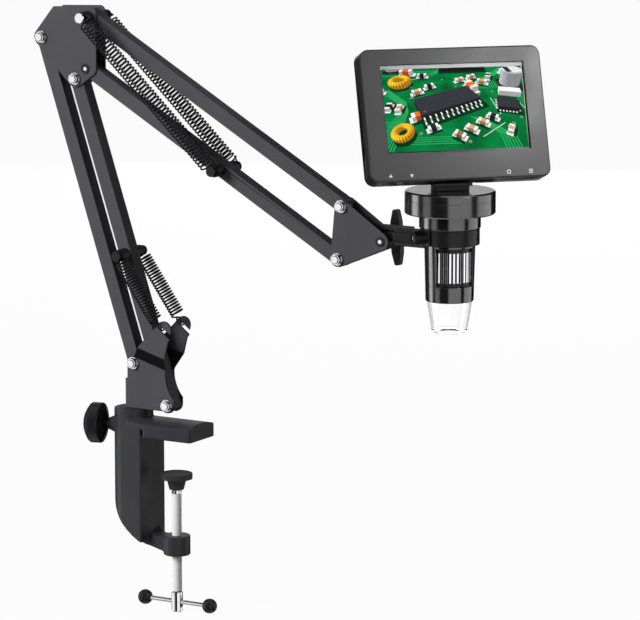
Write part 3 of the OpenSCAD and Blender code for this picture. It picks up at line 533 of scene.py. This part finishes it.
EDGE_WIDTHS = {
    "clamp_pad": 0.4, "lock_knob": 0.5, "base_bracket": 0.22, "base_post": 0.2,
    "base_washer": 0.12, "base_bolts": 0.3, "elbow_bolts": 0.3, "end_bolts": 0.3, "tilt_bolt": 0.25,
    "lower_rear_bar": 0.4, "lower_front_bar": 0.4, "upper_top_bar": 0.4, "upper_bottom_bar": 0.4,
    "lower_spring_pin": 0.3, "elbow_spring_pin": 0.3, "upper_spring_pin": 0.3,
    "lower_pin_sleeves": 0.3, "elbow_pin_sleeves": 0.3, "upper_pin_sleeves": 0.3,
    "elbow_plates": 0.22, "end_plates": 0.22, "elbow_rivet": 0.25, "wing_knob": 0.7,
    "ring_yoke": 0.35, "holder_ring": 0.3, "ring_screw": 0.15, "barrel": 0.2, "nose_ring": 0.2,
    "head_lower": 0.15, "head_cover": 0.15, "neck_block": 0.4, "front_frame": 0.35,
    "rear_cover": 0.4, "focus_wheel": 0.15,
    "button_up": 0.3, "button_down": 0.3, "button_ok": 0.3, "button_menu": 0.3,
}
YOKE_EYE = 9.4                        # the yoke's paint changes this far ahead of the tilt bolt
GROOVES, RIMS = 14.2, 14.55           # the wheel's ribs stand between these radii
BEZEL_BACK = -20.4                    # the display's front face lies ahead of this; the shell behind it gets painted shade
EAR_SHADE = 72                        # the far ear's inner side gets painted shade up to this height
BOLT_HEAD = -5                        # the tilt bolt's head lies ahead of this


def on_wheel_rib(at, way):
    return GROOVES < math.hypot(at.x - SCOPE_X, at.y) < RIMS


# the bolts' faces that don't face along Y, which get painted shade
def on_shaded_bolt_side(at, way):
    return abs(way.y) < 0.8


def in_bracket_shade(at, way):
    """Faces that get painted shade: the joggles of the ears, and the inner side of the far ear."""
    joggle = 0.25 < abs(way.y) < 0.97 and abs(way.z) > 0.15
    return joggle or at.y > 0 and way.y < -0.9 and at.z < EAR_SHADE


finished = {node: broken_edges(node, width) for node, width in EDGE_WIDTHS.items()}
cast_surface("clamp_frame", 0.6, 4)
second_finish(finished["elbow_spring_pin"], "pin_steel", lambda at, way: at.y > -SPRING_Y)
second_finish(finished["ring_yoke"], "ring_black", lambda at, way: at.x > TILT_BOLT[0] + YOKE_EYE)
# painted shade on the display shell's sides and back
for shell in ("front_frame", "rear_cover"):
    second_finish(finished[shell], "shell_side",
                  lambda at, way: (TO_DISPLAY @ (at * MM)).y > BEZEL_BACK * MM)
second_finish(finished["tilt_bolt"], "rivet_black", lambda at, way: at.y < BOLT_HEAD)
# painted shade: the faces between the wheel's chrome ribs get the blackened finish
second_finish(finished["focus_wheel"], "pin_steel", lambda at, way: not on_wheel_rib(at, way))
# painted shade on the sides of the bolts
for bolts in ("base_bolts", "elbow_bolts", "end_bolts"):
    second_finish(finished[bolts], "bright_dark", on_shaded_bolt_side)
# painted shade on the bracket's joggles and on the far ear's inner side
second_finish(finished["base_bracket"], "sheet_shade", in_bracket_shade)


# ---------- clamp screw and tommy bar ----------

SCREW_TOP, SCREW_END = -38.4, -109.6  # the thread runs between these heights
THREAD_PITCH, THREAD_HIGH, THREAD_DEEP, THREAD_STEPS = 1.25, 3.4, 3.32, 28
TOMMY_Z, TOMMY_RADIUS, TOMMY_LENGTH = -116.1, 1.5, 48
BALL_RADIUS, BALL_X, BALL_FLAT = 5.15, 26.3, 4.6


def thread_on_screw():
    """The clamp screw with a real thread between its ball and its head."""
    turns = int((SCREW_TOP - SCREW_END) / THREAD_PITCH) - 1
    crest = THREAD_HIGH - 0.03
    profile = ((THREAD_DEEP, 0.1), (crest, 0.48), (THREAD_HIGH, 0.62), (crest, 0.76),
               (THREAD_DEEP, 1.15), (THREAD_DEEP, 1.35))
    thread = mesh_line("thread", [(across * MM, 0, (SCREW_END + up) * MM) for across, up in profile])
    use_modifier(thread, "SCREW", axis="Z", screw_offset=THREAD_PITCH * MM, iterations=turns,
                 steps=THREAD_STEPS, render_steps=THREAD_STEPS, use_merge_vertices=True,
                 merge_threshold=0.005 * MM, use_normal_calculate=True)
    rod = copy_of("clamp_screw")
    low_cut, high_cut = (SCREW_END + 0.4) * MM, (SCREW_TOP - 1.0) * MM
    bpy.ops.object.mode_set(mode="EDIT")
    for height in (low_cut, high_cut):
        bpy.ops.mesh.select_all(action="SELECT")
        bpy.ops.mesh.bisect(plane_co=(0, 0, height), plane_no=(0, 0, 1))
    bpy.ops.mesh.select_all(action="DESELECT")
    bpy.ops.object.mode_set(mode="OBJECT")
    for face in rod.data.polygons:
        face.select = low_cut < face.center.z < high_cut
    bpy.ops.object.mode_set(mode="EDIT")
    bpy.ops.mesh.delete(type="FACE")
    bpy.ops.mesh.select_all(action="SELECT")
    bpy.ops.mesh.fill_holes(sides=0)
    bpy.ops.object.mode_set(mode="OBJECT")
    keep(joined([rod, thread]), "threaded_screw", "screw", "screw_steel", "clamp_screw")


def tommy_bar():
    """Plated rod with a black plastic ball pressed on each end."""
    rod = add_rod(TOMMY_RADIUS, TOMMY_LENGTH, (0, 0, TOMMY_Z), (0, math.pi / 2, 0))
    round_edges(rod, 0.3)
    keep(rod, "tommy_rod", "tommy", "screw_steel", "tommy_bar")
    for side, word in ((-1, "left"), (1, "right")):
        keep(tommy_ball(side), f"tommy_ball_{word}", "tommy", "knob_plastic")


def tommy_ball(side):
    """A ball with a dished flat where the rod enters."""
    deselect()
    bpy.ops.mesh.primitive_uv_sphere_add(segments=48, ring_count=32, radius=BALL_RADIUS * MM,
                                         location=(side * BALL_X * MM, 0, TOMMY_Z * MM),
                                         rotation=(0, side * math.pi / 2, 0))
    ball = bpy.context.object
    bpy.ops.object.mode_set(mode="EDIT")
    bpy.ops.mesh.select_all(action="DESELECT")
    bpy.ops.object.mode_set(mode="OBJECT")
    for spot in ball.data.vertices:
        spot.select = spot.co.z < -BALL_FLAT * MM
    bpy.ops.object.mode_set(mode="EDIT")
    bpy.ops.transform.resize(value=(1, 1, 0))
    bpy.ops.mesh.dissolve_faces()
    bpy.ops.mesh.inset(thickness=0.35 * MM)
    bpy.ops.mesh.extrude_region_move(TRANSFORM_OT_translate={"value": (side * 0.5 * MM, 0, 0)})
    bpy.ops.object.mode_set(mode="OBJECT")
    put_at_origin(ball)
    return ball


thread_on_screw()
tommy_bar()


# ---------- bright cores of the hollow pivots ----------

def bright_core(name, body, place, front):
    """A domed bright pin end that shows inside a dark rim, facing -Y."""
    radius, depth = 1.62, 1.6
    core = add_rod(radius, depth, (place[0], front + depth / 2, place[1]), (math.pi / 2, 0, 0))
    round_edges(core, 0.45, segments=4)
    keep(core, name, body, "bright")


bright_core("rivet_core", "elbow", ELBOW_LOW, -6.7)
bright_core("tilt_bolt_core", "end", TILT_BOLT, -6.75)


# ---------- parts of the picture on the display ----------
# A made-up circuit board under a lens, in board millimetres: X to the right, Y away from
# the eye, Z up from the board. Its colours are lit here, by each face's direction.

EYE, AIM = Vector((0, -9, 7.5)), Vector((0, 0.6, 0))
LOOK = (AIM - EYE).normalized()
RISE = Vector((1, 0, 0)).cross(LOOK)
REACH = 82.8                          # display mm for each unit across at unit distance
SUN = Vector((-0.55, 0.35, 0.76)).normalized()
GLINT = Vector((-0.25, -0.55, 0.8)).normalized()
FILL_LEVEL, SUN_LEVEL, GLINT_POWER = 0.38, 0.78, 10

SILVER, GOLD, TAN, BROWN = (0.90, 0.90, 0.86), (0.80, 0.56, 0.16), (0.66, 0.38, 0.17), (0.30, 0.16, 0.08)
BLACK, ORANGE, COPPER = (0.018, 0.02, 0.024), (0.88, 0.14, 0.01), (0.95, 0.46, 0.02)
BOARD, TRACE, SHADE = (0.0, 0.20, 0.045), (0.02, 0.38, 0.11), (0.0, 0.035, 0.010)
picture_parts = []


def tint(piece, colour, shine=0.0, vary=None):
    """Lights a part of the picture by its faces' directions, as a colour on the mesh."""
    turned = piece.rotation_euler.to_matrix()
    layer = piece.data.color_attributes.new("picture", "FLOAT_COLOR", "CORNER")
    for face in piece.data.polygons:
        normal = (turned @ face.normal).normalized()
        level = (FILL_LEVEL + SUN_LEVEL * max(0.0, normal.dot(SUN))
                 + shine * max(0.0, normal.dot(GLINT)) ** GLINT_POWER)
        if vary:
            level *= vary(face)
        for corner in face.loop_indices:
            layer.data[corner].color = (*(min(1.0, c * level) for c in colour), 1)
    picture_parts.append(piece)


def block(x, y, z, size, turn, colour, shine=0.0):
    """A box on the level z, turned in degrees about its middle."""
    bpy.ops.mesh.primitive_cube_add(size=1, location=(x, y, z + size[2] / 2), scale=size,
                                    rotation=(0, 0, math.radians(turn)))
    tint(bpy.context.object, colour, shine)


def drum(x, y, z, radius, height, colour, shine=0.0, sides=24):
    bpy.ops.mesh.primitive_cylinder_add(vertices=sides, radius=radius, depth=height,
                                        location=(x, y, z + height / 2))
    tint(bpy.context.object, colour, shine)


def placed(x, y, turn, dx, dy):
    """A place beside a turned component."""
    c, s = math.cos(math.radians(turn)), math.sin(math.radians(turn))
    return x + dx * c - dy * s, y + dx * s + dy * c


def chip_part(x, y, turn, long, body):
    """A two-ended chip part on its pads."""
    wide = long * 0.52
    tall = long * 0.42
    block(*placed(x, y, turn, 0.1 * long, -0.28 * long), 0.022,
          (long * 1.25, wide * 1.2, 0.004), turn, SHADE)
    for side in (-1, 1):
        block(*placed(x, y, turn, side * long * 0.5, 0), 0.03,
              (long * 0.44, wide * 1.2, 0.03), turn, SILVER)
        block(*placed(x, y, turn, side * long * 0.38, 0), 0.03,
              (long * 0.26, wide, tall), turn, SILVER, 0.5)
    block(x, y, 0.05, (long * 0.52, wide * 0.96, tall * 0.94), turn, body, 0.2)


def leg(x, y, turn, dx, dy, out):
    """One gull-wing lead of a chip: shoulder, drop and foot, going out by the sign of out."""
    for along, low, size in ((0.10, 0.34, (0.13, 0.26, 0.05)), (0.24, 0.04, (0.13, 0.06, 0.33)),
                             (0.40, 0.03, (0.13, 0.32, 0.05))):
        block(*placed(x, y, turn, dx, dy + out * along), low, size, turn, SILVER, 0.6)


def board_driver(x, y, turn, long, wide, pins):
    """A long chip with gull-wing leads on both long sides and a mark at its first pin."""
    block(*placed(x, y, turn, 0.2, -0.4), 0.02, (long + 0.5, wide + 1.1, 0.004), turn, SHADE)
    for i in range(pins):
        along = (i - (pins - 1) / 2) * (long - 0.5) / (pins - 1)
        for out in (-1, 1):
            leg(x, y, turn, along, out * wide / 2, out)
    block(x, y, 0.12, (long, wide, 0.26), turn, BLACK)
    block(x, y, 0.38, (long - 0.1, wide - 0.1, 0.3), turn, (0.030, 0.034, 0.042), 0.9)
    drum(*placed(x, y, turn, -long / 2 + 0.5, -wide / 2 + 0.45), 0.67, 0.15, 0.015,
         (0.09, 0.1, 0.12), sides=16)


def flat_chip(x, y, turn, size):
    """A square leadless chip with pads all round."""
    block(x + 0.1, y - 0.15, 0.02, (size + 0.5, size + 0.5, 0.004), turn, SHADE)
    for i in range(6):
        along = (i - 2.5) * size / 6.4
        for dx, dy, w, d in ((along, size / 2, 0.12, 0.34), (along, -size / 2, 0.12, 0.34),
                             (size / 2, along, 0.34, 0.12), (-size / 2, along, 0.34, 0.12)):
            block(*placed(x, y, turn, dx, dy), 0.03, (w, d, 0.04), turn, SILVER, 0.3)
    block(x, y, 0.05, (size, size, 0.4), turn, (0.03, 0.032, 0.038), 0.8)


def coil(x, y, radius, wire):
    """A ring core wound with copper wire."""
    sections = 12
    drum(x + 0.15, y - 0.2, 0.018, radius + wire, 0.006, SHADE, sides=28)
    bpy.ops.mesh.primitive_torus_add(location=(x, y, wire + 0.05), major_radius=radius,
                                     minor_radius=wire, major_segments=72, minor_segments=sections)
    tint(bpy.context.object, COPPER, 0.7,
         vary=lambda face: 1.15 if (face.index // sections) % 3 else 0.45)


def can(x, y, radius, height):
    """A plated can on its square foot."""
    block(x + 0.25, y - 0.3, 0.018, (radius * 2.5, radius * 2.4, 0.004), 0, SHADE)
    block(x, y, 0.03, (radius * 2.1, radius * 2.1, 0.22), 0, BLACK, 0.3)
    drum(x, y, 0.25, radius * 0.97, height, (0.58, 0.60, 0.63), 0.9, 36)
    drum(x, y, 0.25 + height, radius * 0.86, 0.05, (0.70, 0.72, 0.74), 0.4, 36)
    block(x - radius * 0.5, y, 0.30 + height, (radius * 0.5, radius * 1.3, 0.01), 0,
          (0.03, 0.03, 0.04))


def pin_header(x, y, pins, pitch):
    """A black pin strip with gilt pins."""
    long = pins * pitch
    block(x, y - 0.3, 0.02, (long + 0.4, 1.5, 0.004), 0, SHADE)
    block(x, y, 0.03, (long, 0.95, 0.9), 0, BLACK, 0.2)
    for i in range(pins):
        block(x + pitch * (i - (pins - 1) / 2), y, 0.9, (0.22, 0.22, 0.9), 0, GOLD, 0.7)


def trace(points, width, colour=TRACE):
    for (x0, y0), (x1, y1) in zip(points, points[1:]):
        run = math.hypot(x1 - x0, y1 - y0)
        block((x0 + x1) / 2, (y0 + y1) / 2, 0.01, (run + width * 0.6, width, 0.01),
              math.degrees(math.atan2(y1 - y0, x1 - x0)), colour)


def bundle(points, count, pitch, width):
    """Parallel tracks that bend together; each point has the way to its next track."""
    for k in range(count):
        trace([(x + k * pitch * u, y + k * pitch * v) for x, y, u, v in points], width)


def via(x, y):
    size = 0.13
    drum(x, y, 0.012, size, 0.012, (0.30, 0.45, 0.22), sides=14)
    drum(x, y, 0.024, size * 0.5, 0.004, (0.0, 0.05, 0.02), sides=10)


def board_tone(face):
    """The bare board's tone, drifting as under a lens."""
    wide = noise.noise(face.center * 0.55 + Vector((3, 1, 7)))
    return 0.85 + 0.55 * wide + 0.10 * noise.noise(face.center * 3.1)


def board_ground():
    bpy.ops.mesh.primitive_grid_add(x_subdivisions=96, y_subdivisions=72, size=1,
                                    location=(0, 4.5, 0))
    ground = bpy.context.object
    ground.scale = (32, 22, 1)
    bpy.ops.object.transform_apply(scale=True)
    tint(ground, BOARD, vary=board_tone)


def board_tracks():
    bundle([(-13, 3.2, 0, 1), (-7.6, 3.2, -0.4, 1), (-4.6, 0.4, -0.4, 1), (-4.6, -5, -1, 0)],
           7, 0.26, 0.11)
    bundle([(3.4, 4.4, 1, 0), (3.4, 6.6, 1, 0.4), (7.6, 10.8, 1, 0.4), (7.6, 15, 1, 0)],
           8, 0.30, 0.13)
    bundle([(1.4, -0.6, 1, -0.3), (3.4, -2.6, 1, -0.3), (3.4, -5, 1, 0)], 6, 0.22, 0.09)
    bundle([(-12, 8.8, 0, 1), (-3.2, 8.8, 0.4, 1), (-0.6, 11.4, 0.4, 1), (-0.6, 15, -1, 0)],
           6, 0.34, 0.15)
    bundle([(5.6, 1.2, 0, 1), (8.4, 1.2, -0.4, 1), (10.4, 3.2, -0.4, 1), (13, 3.2, 0, 1)],
           5, 0.3, 0.12)
    bundle([(-6.4, -1.6, 0, 1), (-5.2, -1.6, 0.4, 1), (-3.4, -3.4, 0.4, 1), (0.6, -3.4, 0, 1)],
           4, 0.2, 0.08)
    for x, y in ((-3.9, -1.1), (-2.9, -2.4), (0.9, -3.3), (4.9, -1.6), (5.9, -0.9), (7.7, 0.7),
                 (2.9, 3.1), (4.6, 3.6), (-6.9, 1.4), (-8.6, 2.3), (-2.7, 5.9), (-1.5, 7.2),
                 (9.6, 6.7), (8.8, 8.4), (-9.7, 9.9), (0.3, 5.1), (-5.4, 5.2)):
        via(x, y)


def board_components():
    board_driver(-0.7, 1.5, 24, 6.3, 2.9, 12)
    flat_chip(5.3, 0.9, -14, 1.9)
    can(7.2, 5.2, 1.25, 1.7)
    can(-9.6, 11.2, 1.3, 1.9)
    coil(-6.9, 5.9, 1.05, 0.42)
    coil(-4.2, -2.5, 0.62, 0.27)
    for x, y, turn, long, body in (
            (-4.3, 3.6, 24, 1.1, TAN), (-3.0, 4.9, 24, 1.1, BLACK), (2.3, -1.5, -32, 0.86, TAN),
            (3.3, -0.9, -32, 0.86, BLACK), (1.2, -2.2, -32, 0.86, TAN),
            (0.2, -2.8, -32, 0.84, BROWN), (4.3, -2.4, 58, 0.8, TAN),
            (-1.9, -2.0, 24, 0.84, BLACK), (-5.5, 0.6, 90, 0.95, TAN),
            (-6.6, 0.9, 90, 0.95, BLACK), (3.8, 5.7, -20, 1.2, TAN), (5.0, 7.3, 70, 1.2, BLACK),
            (0.9, 6.5, 24, 1.1, TAN), (2.6, 7.4, 24, 1.1, TAN), (-8.9, 3.9, 0, 1.1, BROWN),
            (9.0, 2.2, 90, 1.0, TAN), (7.9, 8.9, 0, 1.3, TAN), (-4.4, 8.1, 0, 1.2, BLACK),
            (10.4, 9.4, 0, 1.3, BLACK), (-3.3, -0.6, 24, 1.25, ORANGE),
            (2.2, 4.4, -66, 1.7, ORANGE), (-6.9, 9.1, 0, 1.8, ORANGE)):
        chip_part(x, y, turn, long, body)
    pin_header(1.6, 10.4, 9, 0.8)
    block(6.3, 3.0, 0.04, (2.3, 0.95, 0.55), -14, SILVER, 0.7)
    for x0, y0, x1, y1 in ((-5.0, 2.7, -3.5, 3.4), (4.2, -0.4, 4.0, 2.3), (6.9, 0.2, 6.6, 2.0),
                           (-8.3, 7.6, -5.4, 7.6), (2.0, -2.9, 4.2, -1.5)):
        trace([(x0, y0), (x1, y1)], 0.07, (0.62, 0.72, 0.60))


# ---------- display: picture, painted ledge highlight and key signs ---
# Places in the display's own frame

SCREEN_X, SCREEN_MID = 0.1, 33.9      # middle of the display's window
SCREEN_HALF_X, SCREEN_HALF_Z = 47.5, 26.95
PICTURE_DROP = 0.9                    # the picture's middle lies this far below the window's
FRONT_Y, PANEL_Y = -20.7, -18.7       # front faces of the shell and of the panel
PICTURE_GAP, PICTURE_DEPTH = 0.03, 10.0
KEY_X = (-47.9, -33.8, 31.7, 46.7)
SIGN_Z = -9.9


def seen_by_lens(point):
    """Perspective of a board point: across and up on the display, and how near it is."""
    way = point - EYE
    depth = way.dot(LOOK)
    sight = way / depth
    ground = -EYE.z / sight.z if sight.z < 0 else math.inf
    return REACH * sight.x, REACH * sight.dot(RISE), 1 / depth - 1 / ground


def picture_light():
    """Lit display: the colours of the picture, with the fine drift of a backlight."""
    material, tree, shader = new_material("display picture")
    set_inputs(shader, {"Base Color": (0.004, 0.004, 0.004, 1), "Roughness": 0.2,
                        "Specular IOR Level": 0.0, "Emission Strength": 1.15})
    colours = add_node(tree, "ShaderNodeVertexColor", layer_name="picture")
    drift = object_noise(tree, scale=900.0, detail=2.0)
    level = remap(tree, drift.outputs["Fac"], 0.3, 0.7, 0.86, 1.12)
    lit = add_node(tree, "ShaderNodeVectorMath", operation="SCALE")
    tree.links.new(colours.outputs["Color"], lit.inputs[0])
    tree.links.new(level.outputs["Result"], lit.inputs["Scale"])
    tree.links.new(lit.outputs["Vector"], shader.inputs["Emission Color"])
    return material


def display_picture():
    """The board as the lens sees it, flattened onto the screen and cut to its size."""
    deselect()
    board_ground()
    board_tracks()
    board_components()
    picture = joined(picture_parts)
    put_at_origin(picture)
    bpy.ops.object.mode_set(mode="EDIT")
    bpy.ops.mesh.select_mode(type="FACE")
    bpy.ops.object.mode_set(mode="OBJECT")
    for face in picture.data.polygons:
        face.select = face.normal.dot(EYE - face.center) <= 0
    bpy.ops.object.mode_set(mode="EDIT")
    bpy.ops.mesh.delete(type="FACE")
    bpy.ops.object.mode_set(mode="OBJECT")
    for spot in picture.data.vertices:
        across, up, near = seen_by_lens(spot.co)
        spot.co = (across, -PICTURE_GAP - PICTURE_DEPTH * near, up)
    bpy.ops.object.mode_set(mode="EDIT")
    for outward, half in (((-1, 0, 0), SCREEN_HALF_X), ((1, 0, 0), SCREEN_HALF_X),
                          ((0, 0, -1), SCREEN_HALF_Z), ((0, 0, 1), SCREEN_HALF_Z)):
        bpy.ops.mesh.select_all(action="SELECT")
        bpy.ops.mesh.bisect(plane_co=Vector(outward) * half, plane_no=outward, clear_outer=True)
    bpy.ops.object.mode_set(mode="OBJECT")
    middle = Vector((SCREEN_X, PANEL_Y, SCREEN_MID - PICTURE_DROP)) * MM
    picture.data.transform(DISPLAY @ Matrix.Translation(middle) @ Matrix.Scale(MM, 4))
    picture.data.materials.clear()
    picture.data.materials.append(picture_light())
    keep(picture, "display_picture", "display", "screen", smooth=0)


def on_display(piece, name, slot, finish, smooth=40):
    """Moves a piece made in the display's own frame onto the display."""
    put_at_origin(piece)
    piece.data.transform(DISPLAY)
    return keep(piece, name, "display", slot, finish=FINISHES[finish], smooth=smooth)


def add_plate(place, size):
    """A box with its middle at a place."""
    deselect()
    bpy.ops.mesh.primitive_cube_add(size=1, location=Vector(place) * MM, scale=Vector(size) * MM)
    return bpy.context.object


def window_ledge_highlight():
    """A pale strip above the picture: painted highlight for the lit top wall of the display's window."""
    strip = add_plate((SCREEN_X, PANEL_Y - 0.15, SCREEN_MID + 27.5), (96.4, 0.3, 2.6))
    put_at_origin(strip)
    round_edges(strip, 0.12)
    on_display(strip, "painted_ledge_highlight", "socket_steel", "strip")


def key_sign(piece, name, smooth=0):
    on_display(piece, name, "button_grey", "print_white", smooth)


def key_signs():
    """Printed signs over the keys: up, down, ring and three bars."""
    key_sign(add_rod(1.5, 0.1, (KEY_X[0], FRONT_Y, SIGN_Z), (math.pi / 2, 0, 0), 3), "sign_up")
    key_sign(add_rod(1.5, 0.1, (KEY_X[1], FRONT_Y, SIGN_Z), (-math.pi / 2, 0, 0), 3), "sign_down")
    deselect()
    bpy.ops.mesh.primitive_torus_add(
        location=Vector((KEY_X[2], FRONT_Y, SIGN_Z)) * MM, rotation=(math.pi / 2, 0, 0),
        major_radius=1.15 * MM, minor_radius=0.26 * MM, major_segments=32, minor_segments=6)
    ring = bpy.context.object
    put_at_origin(ring)
    for spot in ring.data.vertices:
        spot.co.y = FRONT_Y * MM + (spot.co.y - FRONT_Y * MM) * 0.25
    key_sign(ring, "sign_ring", smooth=40)
    bars = [add_plate((KEY_X[3], FRONT_Y, SIGN_Z + step), (2.7, 0.1, 0.46))
            for step in (-1.05, 0, 1.05)]
    key_sign(joined(bars), "sign_bars")


display_picture()
window_ledge_highlight()
key_signs()


# ---------- stage ----------
# Lengths in metres

STAGE_MIDDLE = (0.08, 0, 0.1)         # what the lights and cards face
CAMERA_PLACE, CAMERA_AIM, CAMERA_LENS = (1.381, -2.150, 0.532), (0.1144, 0, 0.0983), 213.75
FLOOR_Z = cad_box[0][2] - 0.0002      # just under the object
FLOOR_TONE, FLOOR_SHARE, FLOOR_GLOW = 0.35, 0.94, 1.02
AMBIENT = 0.05                        # what the world lends to the light on the object


def aim(thing, target):
    thing.rotation_euler = (Vector(target) - thing.location).to_track_quat("-Z", "Y").to_euler()


def around(degrees, rise, distance):
    """A place round the stage's middle, by its bearing and height angle."""
    turn, lift = math.radians(degrees), math.radians(rise)
    way = Vector((math.cos(turn) * math.cos(lift), math.sin(turn) * math.cos(lift), math.sin(lift)))
    return Vector(STAGE_MIDDLE) + distance * way


def shown_white(tree, plain, bright, share, surface):
    """Camera, glossy and transmitted rays see the bright shader by its share, others the plain."""
    path = tree.nodes.new("ShaderNodeLightPath")
    seen = path.outputs["Is Camera Ray"]
    for ray in ("Is Glossy Ray", "Is Transmission Ray"):
        seen = combined(tree, "ShaderNodeMath", "MAXIMUM", seen, path.outputs[ray])
    part = add_node(tree, "ShaderNodeMath", operation="MULTIPLY")
    part.inputs[1].default_value = share
    mix = tree.nodes.new("ShaderNodeMixShader")
    tree.links.new(seen, part.inputs[0])
    tree.links.new(part.outputs["Value"], mix.inputs["Fac"])
    tree.links.new(plain, mix.inputs[1])
    tree.links.new(bright, mix.inputs[2])
    tree.links.new(mix.outputs["Shader"], surface)


def add_camera():
    camera = bpy.data.objects.new("camera", bpy.data.cameras.new("camera"))
    bpy.context.collection.objects.link(camera)
    camera.location = CAMERA_PLACE
    camera.data.lens = CAMERA_LENS
    camera.data.sensor_width = 36
    camera.data.clip_end = 50
    aim(camera, CAMERA_AIM)
    bpy.context.scene.camera = camera


def add_floor():
    deselect()
    bpy.ops.mesh.primitive_plane_add(size=16, location=(0, 0, FLOOR_Z))
    floor = bpy.context.object
    floor.name = "floor"
    floor.visible_glossy = False
    material, tree, plain = new_material("white floor")
    set_inputs(plain, {"Base Color": (FLOOR_TONE, FLOOR_TONE, FLOOR_TONE, 1), "Roughness": 0.8})
    glow = add_node(tree, "ShaderNodeEmission", strength=FLOOR_GLOW)
    shown_white(tree, plain.outputs["BSDF"], glow.outputs["Emission"], FLOOR_SHARE,
                tree.nodes["Material Output"].inputs["Surface"])
    floor.data.materials.append(material)


def add_world():
    world = bpy.data.worlds.new("studio")
    bpy.context.scene.world = world
    world.use_nodes = True
    tree = world.node_tree
    white = {"Color": (1, 1, 1, 1)}
    ambient = tree.nodes["Background"]
    set_inputs(ambient, {**white, "Strength": AMBIENT})
    seen = tree.nodes.new("ShaderNodeBackground")
    set_inputs(seen, white)
    shown_white(tree, ambient.outputs["Background"], seen.outputs["Background"], 1.0,
                tree.nodes["World Output"].inputs["Surface"])


def softbox(name, place, size, watts, target=STAGE_MIDDLE):
    light = bpy.data.objects.new(name, bpy.data.lights.new(name, "AREA"))
    light.data.shape = "RECTANGLE"
    light.data.size, light.data.size_y = size
    light.data.energy = watts
    bpy.context.collection.objects.link(light)
    light.location = place
    aim(light, target)
    return light


def add_lights():
    """A key, a light from behind and one for the display, and strips for reflections only."""
    for name, bearing, rise, size, watts in (("key", -124, 25, (0.9, 1.2), 62),
                                             ("back light", 112, 4, (1.2, 1.6), 42)):
        softbox(name, around(bearing, rise, 2.3), size, watts).visible_glossy = False
    for name, bearing, wide, watts in (("left strip", -159, 0.95, 30), ("front strip", -34, 2.7, 34),
                                       ("right strip", 36, 2.2, 31), ("back strip", 122, 1.5, 9)):
        softbox(name, around(bearing, 0, 2.4), (wide, 3.2), watts).visible_diffuse = False
    softbox("display light", (0.530, -0.075, 0.425), (0.08, 0.08), 0.85, (0.25, 0.04, 0.27))


def dark_cards():
    """Black cards that only reflections see, for the dark bands on metal and gloss."""
    distance, height = 2.7, 8.0
    black, _, shader = new_material("card black")
    set_inputs(shader, {"Base Color": (0.01, 0.01, 0.01, 1), "Specular IOR Level": 0.0})
    for start, stop in ((-109, -64), (-66, -20), (-20, 26), (26, 72), (68, 112), (110, 154),
                        (150, 190), (188, 229)):
        wide = 2 * distance * math.tan(math.radians((stop - start) / 2))
        deselect()
        bpy.ops.mesh.primitive_plane_add(size=1, location=around((start + stop) / 2, 0, distance))
        card = bpy.context.object
        card.name = f"card {start}"
        aim(card, STAGE_MIDDLE)
        card.scale = (wide, height, 1)
        card.data.materials.append(black)
        card.visible_camera = card.visible_diffuse = False
        card.visible_shadow = card.visible_transmission = False


add_camera()
add_floor()
add_world()
add_lights()
dark_cards()
bpy.context.scene.view_settings.view_transform = "Standard"
